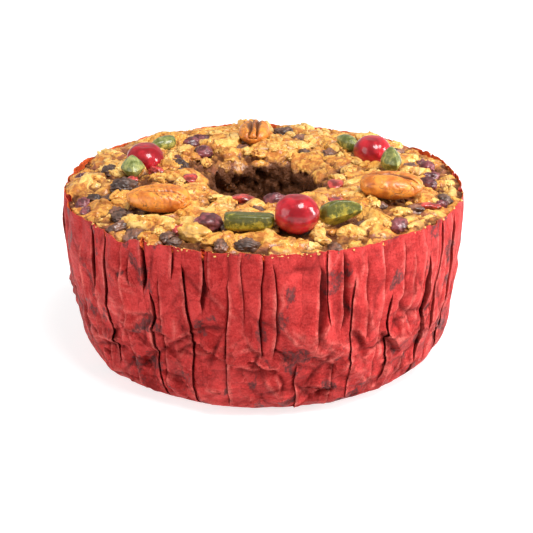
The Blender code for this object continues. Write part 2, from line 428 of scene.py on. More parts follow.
def group_tree(name, inputs, outputs):
    """A new node group with its sockets, and its input and output nodes."""
    tree = bpy.data.node_groups.new(name, "ShaderNodeTree")
    for label, kind, default in inputs:
        socket = tree.interface.new_socket(name=label, in_out="INPUT", socket_type=kind)
        if default is not None:
            socket.default_value = default
    for label, kind in outputs:
        tree.interface.new_socket(name=label, in_out="OUTPUT", socket_type=kind)
    return tree, tree.nodes.new("NodeGroupInput"), tree.nodes.new("NodeGroupOutput")


def place_group(tree, group, **values):
    """Put a group into a material, with its own values for the group's inputs."""
    made = tree.nodes.new("ShaderNodeGroup")
    made.node_tree = group
    for label, value in values.items():
        socket = made.inputs[label.replace("_", " ")]
        if isinstance(value, bpy.types.NodeSocket):
            tree.links.new(value, socket)
        else:
            socket.default_value = value
    return made


def sticky_grain():
    """Shared: the fine uneven skin of everything baked in syrup. Puts out a speckle mask and a height."""
    found = bpy.data.node_groups.get("Sticky grain")
    if found:
        return found
    tree, given, put = group_tree(
        "Sticky grain",
        [("Position", "NodeSocketVector", None), ("Grains per metre", "NodeSocketFloat", 900.0)],
        [("Speckle", "NodeSocketFloat"), ("Height", "NodeSocketFloat")],
    )
    fine = node(tree, "ShaderNodeTexNoise", Detail=5.0, Roughness=0.62)
    tree.links.new(given.outputs["Position"], fine.inputs["Vector"])
    tree.links.new(given.outputs["Grains per metre"], fine.inputs["Scale"])
    grit = node(tree, "ShaderNodeTexVoronoi", feature="F1")
    tree.links.new(given.outputs["Position"], grit.inputs["Vector"])
    tree.links.new(given.outputs["Grains per metre"], grit.inputs["Scale"])
    tree.links.new(spread(tree, fine.outputs["Fac"], 0.32, 0.70), put.inputs["Speckle"])
    raised = math_node(tree, "MULTIPLY", grit.outputs["Distance"], -0.35)
    tree.links.new(math_node(tree, "ADD", fine.outputs["Fac"], raised), put.inputs["Height"])
    return tree


def new_material(
    name, roughness, coat=0.0, coat_roughness=0.1, subsurface=0.0, scatter=None, specular=0.5
):
    """A Principled material with its fixed values, its node tree and its shader."""
    made = bpy.data.materials.new(name)
    made.use_nodes = True
    shader = made.node_tree.nodes["Principled BSDF"]
    shader.inputs["Roughness"].default_value = roughness
    shader.inputs["Specular IOR Level"].default_value = specular
    shader.inputs["Coat Weight"].default_value = coat
    shader.inputs["Coat Roughness"].default_value = coat_roughness
    if subsurface:
        shader.inputs["Subsurface Weight"].default_value = subsurface
        shader.inputs["Subsurface Radius"].default_value = scatter
        shader.inputs["Subsurface Scale"].default_value = 1.0
    return made, made.node_tree, shader


def facets(tree, place, per_metre, tilt, where):
    """Flat facets that each lean their own way and meet at crisp creases: their height in metres, a
    tone from 0 to 1 for each, and a mask of the lines where they meet. The height and the lines are
    there only as far as where says."""
    noise = node(tree, "ShaderNodeTexNoise", Scale=0.7 * per_metre, Detail=2.0)
    tree.links.new(place, noise.inputs["Vector"])
    sway = stretched(tree, noise.outputs["Color"], (1.6 / per_metre,) * 3)
    bent = vector_node(tree, "ADD", place, sway)
    cell = node(tree, "ShaderNodeTexVoronoi", Scale=per_metre, feature="F1")
    tree.links.new(bent, cell.inputs["Vector"])
    seam = node(tree, "ShaderNodeTexVoronoi", Scale=per_metre, feature="DISTANCE_TO_EDGE")
    tree.links.new(bent, seam.inputs["Vector"])
    within = vector_node(tree, "SUBTRACT", bent, cell.outputs["Position"])
    lean = vector_node(tree, "SUBTRACT", cell.outputs["Color"], (0.5, 0.5, 0.5))
    slant = vector_node(tree, "DOT_PRODUCT", within, lean, "Value")
    height = math_node(tree, "MULTIPLY", math_node(tree, "MULTIPLY", slant, tilt), where)
    parts = tree.nodes.new("ShaderNodeSeparateXYZ")
    tree.links.new(cell.outputs["Color"], parts.inputs[0])
    line = math_node(tree, "MULTIPLY", spread(tree, seam.outputs["Distance"], 0.07, 0.0), where)
    return height, parts.outputs[0], line


def paper_material(case):
    """Thin fibrous red paper with grease marks, painted shade in its tucks and hollows, and painted
    highlights on its fold edges.
    """
    made, tree, shader = new_material("Pleated red paper", 0.62, specular=0.15)
    place = object_place(tree)
    cloud = noise_value(tree, place, 130.0, 3.0, 0.6)
    fibre = noise_value(tree, stretched(tree, place, (1.0, 1.0, 0.7)), 1500.0, 4.0, 0.75)
    weft = noise_value(tree, stretched(tree, place, (0.7, 0.7, 1.2)), 800.0, 4.0, 0.75)
    darker = (case.red[0] * 0.60, case.red[1] * 0.40, case.red[2] * 0.40)
    lighter = (min(1.0, case.red[0] * 1.18), case.red[1] * 1.60 + 0.013, case.red[2] * 1.60 + 0.013)
    pressed = attribute(tree, "pressed")
    upright = stretched(tree, place, (1.0, 1.0, 0.5))
    flats, flat_facet_shading, flat_line = facets(tree, upright, 110.0, 0.7, 1.0)
    squat = stretched(tree, place, (1.0, 1.0, 1.6))
    crushed, crushed_facet_shading, crushed_line = facets(tree, squat, 110.0, 1.1, pressed)
    # The paper's tone: cloud, fibre and weft are its own; the facet tones are painted light and shade, each
    # facet a little lighter or darker.
    tone = math_node(tree, "MULTIPLY", cloud, 0.32)
    for part, weight in ((fibre, 0.36), (weft, 0.32), (flat_facet_shading, 0.06), (crushed_facet_shading, 0.08)):
        tone = math_node(tree, "ADD", tone, math_node(tree, "MULTIPLY", part, weight))
    red = blend_colours(tree, spread(tree, tone, 0.42, 0.72), darker, lighter)
    # Painted highlights along the crease lines of lighter facets and painted shade along those of darker
    # ones.
    pale = spread(tree, crushed_facet_shading, 0.50, 0.62, 0.0, 0.22)
    dark = spread(tree, crushed_facet_shading, 0.46, 0.36, 0.0, 0.28)
    flat_shade_strength = spread(tree, flat_facet_shading, 0.40, 0.30, 0.0, 0.20)
    painted_highlight_line = math_node(tree, "MULTIPLY", crushed_line, pale)
    painted_shade_line = math_node(tree, "MULTIPLY", crushed_line, dark)
    painted_shade_line = math_node(tree, "MAXIMUM", painted_shade_line, math_node(tree, "MULTIPLY", flat_line, flat_shade_strength))
    # Painted highlight along the fold crests and the pale crease lines, broken up by the fibre and the cloud.
    highlit = math_node(tree, "MAXIMUM", attribute(tree, "crest"), painted_highlight_line)
    highlit = math_node(tree, "MULTIPLY", highlit, spread(tree, fibre, 0.30, 0.70, 0.35, 1.0))
    highlit = math_node(tree, "MULTIPLY", highlit, spread(tree, cloud, 0.40, 0.62, 0.25, 1.0))
    red = blend_colours(tree, highlit, red, case.edge)
    blot = noise_value(tree, stretched(tree, place, (1.0, 1.0, 0.85)), 84.0, 1.0, 0.5, 0.5)
    mottle = noise_value(tree, stretched(tree, place, (1.0, 1.0, 0.8)), 420.0, 4.0, 0.66)
    mark = math_node(tree, "ADD", blot, math_node(tree, "MULTIPLY", mottle, 0.38))
    stained = spread(tree, mark, 0.795, 0.865, 0.0, 0.92)
    streaks = noise_value(tree, stretched(tree, place, (1.0, 1.0, 0.6)), 900.0, 3.0, 0.6)
    stained = math_node(tree, "MULTIPLY", stained, spread(tree, streaks, 0.34, 0.60, 0.35, 1.0))
    red = blend_colours(tree, stained, red, case.stain)
    # The inner side: partly the oil-soaked paper's own colour, partly painted light.
    red = blend_colours(tree, attribute(tree, "inner"), red, case.oiled_and_lit)
    # Painted shade in the tucks, in the crease hollows and along the dark crease lines.
    tucked = math_node(tree, "MAXIMUM", attribute(tree, "tuck"), painted_shade_line)
    shade = blend_colours(tree, tucked, (1.0, 1.0, 1.0), (0.30, 0.13, 0.13))
    red = blend_colours(tree, 1.0, red, shade, "MULTIPLY")
    tree.links.new(red, shader.inputs["Base Color"])
    tree.links.new(spread(tree, stained, 0.0, 0.7, 0.62, 0.50), shader.inputs["Roughness"])
    weave = math_node(tree, "ADD", fibre, weft)
    weave = math_node(tree, "ADD", weave, math_node(tree, "MULTIPLY", mottle, 1.4))
    height = math_node(tree, "MULTIPLY", weave, 0.30 * MM)
    height = math_node(tree, "ADD", height, math_node(tree, "ADD", flats, crushed))
    tree.links.new(bumped(tree, height, 1.0, 1.0), shader.inputs["Normal"])
    return made


def crumb_material(cake):
    """Sticky crumb, with painted shade in its crevices and down the hole, golden nut meat winding
    through it and patches stained by dark fruit."""
    made, tree, shader = new_material("Sticky crumb", 0.50, 0.0, 0.22, specular=0.3)
    place = object_place(tree)
    grain = place_group(tree, sticky_grain(), Position=place, Grains_per_metre=800.0)
    patch = noise_value(tree, place, 110.0, 3.0, 0.6)
    juice = noise_value(tree, place, 75.0, 3.0, 0.65)
    wavy = noise_value(tree, place, 300.0, 3.0, 0.55)
    speckle = spread(tree, grain.outputs["Speckle"], 0.2, 1.0, 0.0, 0.75)
    warm = blend_colours(tree, speckle, cake.crumb, cake.nut)
    warm = blend_colours(tree, spread(tree, patch, 0.46, 0.60, 0.0, 0.75), warm, cake.nut_amber)
    warm = blend_colours(tree, spread(tree, juice, 0.52, 0.62, 0.0, 0.80), warm, cake.juice)
    golden = blend_colours(tree, spread(tree, wavy, 0.42, 0.60), cake.nut_amber, cake.nut)
    golden = blend_colours(tree, spread(tree, patch, 0.46, 0.30, 0.0, 0.6), golden, cake.nut_pale)
    warm = blend_colours(tree, spread(tree, attribute(tree, "meaty"), 0.45, 0.95), warm, golden)
    proud = attribute(tree, "proud")
    # Painted shade: the crumb darkens to the crevice colour where its relief lies low and down the hole.
    tone = blend_colours(tree, spread(tree, proud, 0.30, 0.80), cake.deep, warm)
    tree.links.new(tone, shader.inputs["Base Color"])
    tree.links.new(spread(tree, proud, 0.25, 0.75, 0.0, 0.45), shader.inputs["Coat Weight"])
    height = math_node(tree, "ADD", grain.outputs["Height"], math_node(tree, "MULTIPLY", wavy, 2.0))
    tree.links.new(bumped(tree, height, 1.0 * MM, 1.0), shader.inputs["Normal"])
    return made


def nut_material(cake):
    """Glazed nut meat: painted highlight on its swellings; painted shade as amber on its flanks, as brown
    syrup in its creases and low in its bed, and at the hole; syrup too in random sticky patches.
    """
    made, tree, shader = new_material("Glazed nut meat", 0.36, 0.50, 0.16, specular=0.32)
    place = object_place(tree)
    grain = place_group(tree, sticky_grain(), Position=place, Grains_per_metre=700.0)
    wavy = noise_value(tree, place, 300.0, 3.0, 0.55)
    patch = noise_value(tree, place, 105.0, 3.0, 0.6)
    # The nut's tone: random for each nut, lowered as painted shade at the hole; the swelling term paints
    # highlight on swellings and shade on flanks and in creases.
    tone = math_node(tree, "ADD", attribute(tree, "tone"), spread(tree, wavy, 0.35, 0.65, -0.15, 0.15))
    swelling = spread(tree, attribute(tree, "swell"), 0.45, 1.0, -0.35, 0.30)
    tone = math_node(tree, "ADD", tone, swelling)
    body = blend_colours(tree, spread(tree, tone, 0.50, 1.10), cake.nut, cake.nut_pale)
    body = blend_colours(tree, spread(tree, tone, 0.55, 0.05), body, cake.nut_amber)
    specks = spread(tree, grain.outputs["Speckle"], 0.65, 1.0, 0.0, 0.30)
    body = blend_colours(tree, specks, body, cake.nut_amber)
    # Syrup colour: real in the random sticky patches, painted shade in the creases and on what lies low in
    # the bed.
    syrup = spread(tree, attribute(tree, "swell"), 0.50, 0.15, 0.0, 0.80)
    sticky = spread(tree, patch, 0.56, 0.67, 0.0, 0.60)
    juice = noise_value(tree, place, 75.0, 3.0, 0.65)
    body = blend_colours(tree, spread(tree, juice, 0.56, 0.66, 0.0, 0.50), body, cake.juice)
    syrup = math_node(tree, "MAXIMUM", syrup, math_node(tree, "MAXIMUM", attribute(tree, "low"), sticky))
    body = blend_colours(tree, syrup, body, cake.syrup)
    # Painted shade: nuts whose tone is low, at the hole's brink and down the hole, take the crevice colour.
    shade = spread(tree, attribute(tree, "tone"), 0.10, -0.35, 0.0, 0.62)
    body = blend_colours(tree, shade, body, cake.deep)
    tree.links.new(body, shader.inputs["Base Color"])
    gloss = math_node(tree, "SUBTRACT", spread(tree, syrup, 0.0, 0.9, 0.42, 0.08), shade)
    tree.links.new(math_node(tree, "MAXIMUM", gloss, 0.0), shader.inputs["Coat Weight"])
    height = math_node(tree, "ADD", grain.outputs["Height"], math_node(tree, "MULTIPLY", wavy, 3.0))
    tree.links.new(bumped(tree, height, 1.0 * MM, 1.0), shader.inputs["Normal"])
    return made


def fruit_material(name, tint, roughness, coat, bloom, scatter=None, darkest=0.5):
    """Candied or dried fruit: one tint, clouded through its flesh, under any bloom that it has."""
    subsurface = 0.25 if scatter else 0.0
    made, tree, shader = new_material(name, roughness, coat, 0.12, subsurface, scatter)
    place = object_place(tree)
    grain = place_group(tree, sticky_grain(), Position=place, Grains_per_metre=700.0)
    cloud = noise_value(tree, place, 260.0, 4.0, 0.6)
    dark = tuple(channel * darkest for channel in tint)
    light = tuple(min(1.0, channel * 1.9 + 0.022) for channel in tint)
    body = blend_colours(tree, spread(tree, cloud, 0.38, 0.66), dark, light)
    if bloom:
        dusty = math_node(tree, "MULTIPLY", grain.outputs["Speckle"], bloom)
        body = blend_colours(tree, dusty, body, (0.26, 0.20, 0.22))
    tree.links.new(body, shader.inputs["Base Color"])
    tree.links.new(bumped(tree, grain.outputs["Height"], 0.25 * MM, 0.6), shader.inputs["Normal"])
    return made


def cherry_material(fruit):
    """Glazed cherry: deep clear red under a wet glaze."""
    scatter = (4.0 * MM, 0.4 * MM, 0.4 * MM)
    made, tree, shader = new_material("Glazed cherry", 0.32, 0.80, 0.13, 0.30, scatter, 0.1)
    place = object_place(tree)
    cloud = noise_value(tree, place, 160.0, 3.0, 0.5)
    dark = tuple(channel * 0.62 for channel in fruit.cherry)
    light = tuple(min(1.0, channel * 1.25 + 0.012) for channel in fruit.cherry)
    body = blend_colours(tree, spread(tree, cloud, 0.35, 0.65), dark, light)
    tree.links.new(body, shader.inputs["Base Color"])
    tree.links.new(bumped(tree, cloud, 0.5 * MM, 0.3), shader.inputs["Normal"])
    return made


def green_material(fruit):
    """Candied green fruit: clear flesh, painted dark on top and lighter below as if lit through, with sugar
    grains.
    """
    scatter = (2.4 * MM, 3.0 * MM, 0.4 * MM)
    made, tree, shader = new_material("Candied green fruit", 0.34, 0.55, 0.22, 0.15, scatter, 0.3)
    place = object_place(tree)
    cloud = noise_value(tree, place, 360.0, 4.0, 0.65)
    sugar = noise_value(tree, place, 1500.0, 2.0, 0.6)
    # Painted light: lower parts lighter as if lit through, mottled by the cloud.
    lit = math_node(tree, "MULTIPLY", attribute(tree, "lit"), 0.75)
    clear = math_node(tree, "ADD", lit, spread(tree, cloud, 0.34, 0.66, -0.45, 0.50))
    dark = (fruit.green[0] * 0.42, fruit.green[1] * 0.50, fruit.green[2] * 0.7)
    light = (fruit.green[0] * 2.3, fruit.green[1] * 2.1, fruit.green[2] * 2.4)
    body = blend_colours(tree, spread(tree, clear, 0.05, 0.95), dark, light)
    # Pale sugar grains, shown mostly where the painted light comes through.
    grains = spread(tree, clear, 0.1, 0.7, 0.10, 0.60)
    grains = math_node(tree, "MULTIPLY", spread(tree, sugar, 0.58, 0.72), grains)
    body = blend_colours(tree, grains, body, (0.56, 0.54, 0.13))
    cloudy = spread(tree, cloud, 0.35, 0.65)
    flesh = blend_colours(tree, cloudy, (0.13, 0.17, 0.035), (0.42, 0.46, 0.17))
    body = blend_colours(tree, attribute(tree, "clear"), body, flesh)
    tree.links.new(body, shader.inputs["Base Color"])
    tree.links.new(bumped(tree, sugar, 0.3 * MM, 0.6), shader.inputs["Normal"])
    return made


def pecan_material(fruit):
    """Pecan skin: orange brown, darker along its grooves, faintly streaked along its length."""
    scatter = (1.6 * MM, 0.6 * MM, 0.2 * MM)
    made, tree, shader = new_material("Pecan skin", 0.44, 0.30, 0.28, 0.06, scatter)
    place = object_place(tree)
    grain = place_group(tree, sticky_grain(), Position=place, Grains_per_metre=500.0)
    cloud = noise_value(tree, place, 210.0, 4.0, 0.6)
    dark = (fruit.pecan[0] * 0.72, fruit.pecan[1] * 0.50, fruit.pecan[2] * 0.55)
    light = tuple(min(1.0, channel * 1.25 + 0.01) for channel in fruit.pecan)
    body = blend_colours(tree, spread(tree, cloud, 0.34, 0.66), dark, light)
    vein = noise_value(tree, stretched(tree, place, (1.0, 1.0, 2.0)), 150.0, 2.0, 0.5, 0.9)
    vein = math_node(tree, "ABSOLUTE", math_node(tree, "SUBTRACT", vein, 0.5), 0.0)
    vein = math_node(tree, "MULTIPLY", spread(tree, vein, 0.017, 0.002), spread(tree, cloud, 0.44, 0.56))
    groove = spread(tree, attribute(tree, "swell"), 0.75, 0.0, 0.0, 0.9)
    groove = math_node(tree, "MAXIMUM", groove, math_node(tree, "MULTIPLY", vein, 0.72))
    body = blend_colours(tree, groove, body, (0.16, 0.045, 0.012))
    tree.links.new(body, shader.inputs["Base Color"])
    height = math_node(tree, "MULTIPLY", grain.outputs["Height"], 0.22 * MM)
    height = math_node(tree, "SUBTRACT", height, math_node(tree, "MULTIPLY", vein, 0.7 * MM))
    tree.links.new(bumped(tree, height, 1.0, 0.8), shader.inputs["Normal"])
    return made


# ---------------------------------------------------------------------------
# The paper case
# ---------------------------------------------------------------------------


# The wall's outline: the radius of its bottom corner, its radii at the foot and at its widest as
# shares of the same nominal radius, and the height of its widest part.
CORNER = 14.0 * MM
FOOT = 0.905
BELLY = 1.006
BELLY_HEIGHT = 0.86 * RIM_HEIGHT
# The torn notch of the rim.
NOTCH_ANGLE = math.radians(-131.0)
NOTCH_WIDTH = math.radians(2.5)
NOTCH_DEPTH = 2.2 * MM
# Edges of the paper that bend by more than this stay crisp.
CRISP = math.radians(32.0)


def wall_radius(height):
    """Outer radius of the case's smooth wall at a height, as the CAD case has it."""
    swell = np.sin(0.5 * math.pi * height / BELLY_HEIGHT)
    radius = CASE_RADIUS / BELLY * (FOOT + (BELLY - FOOT) * swell)
    drop = np.maximum(CORNER - height, 0.0)
    return radius - CORNER + np.sqrt(CORNER ** 2 - drop ** 2)


def case_profile():
    """Rows up the outside of the case from its base hole to its rim: radius, height, and the
    outward normal's two parts."""
    hole = settings("ring_cake_body").hole
    foot = float(wall_radius(np.array(0.0)))
    base = np.linspace(hole, foot, 4)[:-1]
    lean = np.linspace(0.0, 0.5 * math.pi, 12)
    bend_height = CORNER * (1.0 - np.cos(lean))
    wall = CORNER + (RIM_HEIGHT - CORNER) * np.linspace(0.0, 1.0, 71)[1:]
    height = np.concatenate([np.zeros(len(base)), bend_height, wall])
    radius = np.concatenate([base, wall_radius(bend_height), wall_radius(wall)])
    out = np.concatenate([np.zeros(len(base)), np.sin(lean), np.ones(len(wall))])
    down = np.concatenate([-np.ones(len(base)), -np.cos(lean), np.zeros(len(wall))])
    return radius, height, out, down


def knife_fold(over, tuck, lift, slot, alive):
    """The sheet's way round one knife fold whose upper layer comes from the left: places along the
    wall and heights off it, in metres, each an array over rows and folds."""
    thick = 0.30 * MM * alive
    return [
        (over - 0.6 * MM, 0.85 * lift),
        (over, lift),
        (over + 0.08 * MM, lift - thick),
        (-over, -tuck),
        (-over - 0.10 * MM, -tuck - thick),
        (over + 0.30 * slot + 0.05 * MM, -0.90 * tuck),
        (over + 0.75 * slot + 0.15 * MM, -0.62 * tuck),
        (over + slot + 0.6 * MM, -0.26 * tuck),
    ]


# How far each place of a fold's path takes the painted highlight of a crest and the painted shade of a tuck.
PATH_CREST = np.array([0.6, 1.0, 0.7, 0.0, 0.0, 0.0, 0.0, 0.0])
PATH_TUCK = np.array([0.0, 0.0, 0.25, 1.0, 1.0, 1.0, 0.75, 0.20])
# Distance between the columns of the flat paper between two folds.
PANEL_STEP = 0.82 * MM

# The folds of the front: angle in degrees, the shares of the height between which each is open, its
# opening in millimetres, how deep it goes, and which layer lies on top (1 for the left one).
FRONT_FOLDS = (
    (-150.5, 0.05, 0.90, 0.6, 0.5, 0), (-145.0, 0.58, 1.00, 1.5, 0.8, 1), (-141.5, 0.10, 0.62, 0.7, 0.5, 0),
    (-138.5, 0.15, 1.04, 0.6, 0.6, 1), (-130.5, 0.05, 1.02, 0.5, 0.4, 0), (-127.5, 0.72, 0.97, 2.2, 0.7, 0),
    (-124.3, 0.70, 1.10, 3.8, 1.0, 1), (-121.8, -0.10, 0.74, 1.2, 0.7, 1), (-118.6, -0.05, 0.84, 0.7, 0.5, 0),
    (-114.6, 0.80, 1.04, 0.3, 0.3, 1), (-111.6, -0.05, 0.93, 0.9, 0.75, 1), (-107.2, 0.62, 1.08, 4.2, 1.0, 1),
    (-104.0, 0.76, 1.08, 1.3, 0.5, 0), (-99.2, -0.10, 0.88, 0.9, 0.7, 0), (-95.4, 0.55, 1.05, 0.2, 0.15, 1),
    (-91.0, 0.36, 1.05, 1.2, 0.9, 1), (-87.4, 0.36, 0.97, 0.8, 0.5, 1), (-80.0, -0.05, 0.35, 0.4, 0.3, 0),
    (-76.4, 0.42, 0.94, 4.2, 1.0, 1), (-72.6, 0.55, 1.05, 0.2, 0.15, 0), (-70.9, -0.05, 0.38, 1.2, 0.5, 1),
    (-68.4, 0.52, 1.00, 4.6, 1.0, 1), (-65.6, -0.05, 0.86, 0.3, 0.25, 0), (-61.8, 0.40, 0.96, 0.7, 0.5, 1),
    (-56.8, -0.05, 1.02, 1.3, 0.55, 1), (-52.8, 0.10, 0.70, 0.5, 0.3, 0), (-49.2, 0.45, 0.99, 2.4, 0.8, 1),
    (-45.6, 0.05, 0.92, 1.2, 0.5, 1), (-41.2, 0.35, 0.97, 1.8, 0.6, 1), (-37.6, 0.00, 0.85, 0.7, 0.4, 0),
    (-34.4, 0.10, 1.04, 0.8, 0.5, 1), (-31.8, 0.30, 1.02, 0.3, 0.3, 0), (-28.6, 0.00, 0.96, 0.7, 0.5, 1),
    (-25.8, 0.20, 1.02, 0.3, 0.3, 1), (-22.6, 0.00, 0.98, 0.6, 0.4, 0), (-19.0, 0.10, 1.02, 0.5, 0.4, 1),
)


def fold_list(case, draw):
    """All the folds, in order round the wall, as rows like those of the front."""
    first, last = FRONT_FOLDS[0][0] - 4.0, FRONT_FOLDS[-1][0] + 4.0
    count = max(case.pleats - len(FRONT_FOLDS), 4)
    widths = draw.uniform(0.45, 1.7, count + 1)
    angles = last + np.cumsum(widths)[:-1] / widths.sum() * (first + 360.0 - last)
    low = draw.uniform(-0.5, 0.45, count)
    high = np.maximum(draw.uniform(0.55, 1.4, count), low + 0.35)
    opening = 4.5 * draw.uniform(0.0, 1.0, count) ** 1.8
    depth = draw.uniform(0.3, 1.0, count)
    on_top = draw.integers(0, 2, count)
    behind = np.column_stack([angles, low, high, opening, depth, on_top])
    return np.concatenate([np.array(FRONT_FOLDS, dtype=float), behind])


# Strong creases of the front: kind, angle in degrees, height and length in millimetres, slope in
# degrees, and depth in millimetres.
FRONT_CREASES = (
    ("ledge", -104.5, 32.0, 22.0, -30.0, 2.2), ("ledge", -90.0, 27.0, 15.0, -28.0, 2.4),
    ("valley", -85.0, 33.0, 13.0, -35.0, 1.8), ("ridge", -87.0, 15.0, 18.0, -58.0, 1.8),
    ("ridge", -74.5, 43.0, 16.0, 47.0, 1.6), ("valley", -93.0, 36.0, 8.0, -47.0, 1.8),
    ("valley", -92.0, 30.0, 11.0, 78.0, 1.9), ("ledge", -74.5, 15.0, 15.0, -4.0, 1.6),
    ("valley", -104.5, 46.0, 12.0, -22.0, 1.0), ("ledge", -75.5, 32.0, 15.0, 21.0, 1.8),
    ("ridge", -66.0, 25.0, 10.0, 55.0, 1.8), ("ledge", -63.0, 38.0, 12.0, -49.0, 1.8),
    ("ridge", -60.5, 48.0, 16.0, -74.0, 1.3), ("valley", -47.0, 45.0, 16.0, -51.0, 1.5),
    ("ledge", -51.0, 31.0, 19.0, -52.0, 1.8), ("ledge", -117.5, 38.0, 17.0, -12.0, 1.7),
    ("valley", -117.0, 17.0, 14.0, -14.0, 1.6), ("ridge", -140.5, 40.0, 12.0, -50.0, 1.2),
    ("valley", -146.5, 52.0, 12.0, -47.0, 1.0), ("ledge", -130.5, 38.0, 12.0, -17.0, 1.4),
    ("valley", -60.0, 10.0, 16.0, 0.0, 1.4), ("ridge", -103.0, 14.0, 14.0, 16.0, 1.5),
    ("valley", -111.5, 30.0, 12.0, -10.0, 1.5),
)
# All the others: kind, how many, the shares of the height between which they lie, and their lengths
# and depths in millimetres.
CREASES = (
    ("ridge", 115, (0.06, 0.60), (9.0, 26.0), (0.7, 1.5)),
    ("valley", 115, (0.04, 0.62), (9.0, 30.0), (0.7, 1.6)),
    ("ledge", 55, (0.16, 0.56), (9.0, 24.0), (0.8, 1.6)),
    ("ridge", 170, (0.10, 0.95), (8.0, 26.0), (0.20, 0.60)),
    ("valley", 230, (0.10, 0.95), (8.0, 26.0), (0.20, 0.65)),
)


def crease_list(draw, whole):
    """Every crease: its kind, angle, level, half length, depth, slope and the seed of its kinks."""
    rows = []
    for seed, (kind, angle, height, long, slope, depth) in enumerate(FRONT_CREASES, start=701):
        angle, slope = math.radians(angle), math.radians(slope)
        level = whole - RIM_HEIGHT + height * MM
        rows.append((kind, angle, level, 0.5 * long * MM, depth * MM, slope, seed))
    for kind, count, band, lengths, depths in CREASES:
        for _ in range(count):
            angle = draw.uniform(0.0, TURN)
            level = draw.uniform(*band) * whole
            half = 0.5 * draw.uniform(*lengths) * MM
            depth = draw.uniform(*depths) * MM
            slope = draw.normal(0.0, 0.30 if kind == "ledge" else 0.55)
            steep = draw.uniform() < (0.60 if depths[1] < 1.0 else 0.35)
            slope = slope + (0.5 * math.pi if steep else 0.0)
            rows.append((kind, angle, level, half, depth, slope, int(draw.integers(1, 9999))))
    return rows


def pressed_creases(draw, angle, along, whole):
    """Creases pressed into the sheet, each short and nearly straight: the height they add, in
    metres, and masks of the sharp crests and of the hollows, which take painted highlight and painted shade."""
    raised = np.zeros(angle.shape)
    crest = np.zeros(angle.shape)
    hollow = np.zeros(angle.shape)
    for kind, middle, level, half, depth, slope, seed in crease_list(draw, whole):
        away = np.angle(np.exp(1j * (angle[-1] - middle))) * CASE_RADIUS
        near = np.abs(away) < half + 16.0 * MM
        if not near.any():
            continue
        across = np.angle(np.exp(1j * (angle[:, near] - middle))) * CASE_RADIUS
        rise = along - level
        run = across * math.cos(slope) + rise * math.sin(slope)
        off = rise * math.cos(slope) - across * math.sin(slope)
        off = off + 1.1 * MM * kinked(run / (5.0 * MM), 0 * run, seed)
        fade = np.clip(1.0 - (run / half) ** 2, 0.0, 1.0) ** 0.5
        wide = np.where(off > 0.0, 2.7 * MM, 3.9 * MM)
        tip = np.exp(-np.abs(off) / wide)
        line = np.exp(-(off / (0.85 * MM)) ** 2) * fade * min(1.0, 0.3 + 0.7 * depth / MM)
        # Ridges take a painted highlight line along their crest, valleys a painted shade line.
        if kind == "ridge":
            raised[:, near] += depth * fade * tip * 0.9
            crest[:, near] = np.maximum(crest[:, near], line)
        elif kind == "valley":
            raised[:, near] -= depth * fade * tip
            hollow[:, near] = np.maximum(hollow[:, near], line)
        else:
            step = np.clip(off / (0.55 * MM), -1.0, 1.0)
            raised[:, near] += depth * fade * tip * step * 0.8
            # A ledge takes a painted shadow just below its lip and a painted highlight just above it.
            below = np.exp(-((off + 0.8 * MM) / (1.1 * MM)) ** 2) * fade
            above = np.exp(-((off - 0.9 * MM) / (0.6 * MM)) ** 2) * fade
            hollow[:, near] = np.maximum(hollow[:, near], below)
            crest[:, near] = np.maximum(crest[:, near], 0.8 * above)
    return raised, crest, hollow


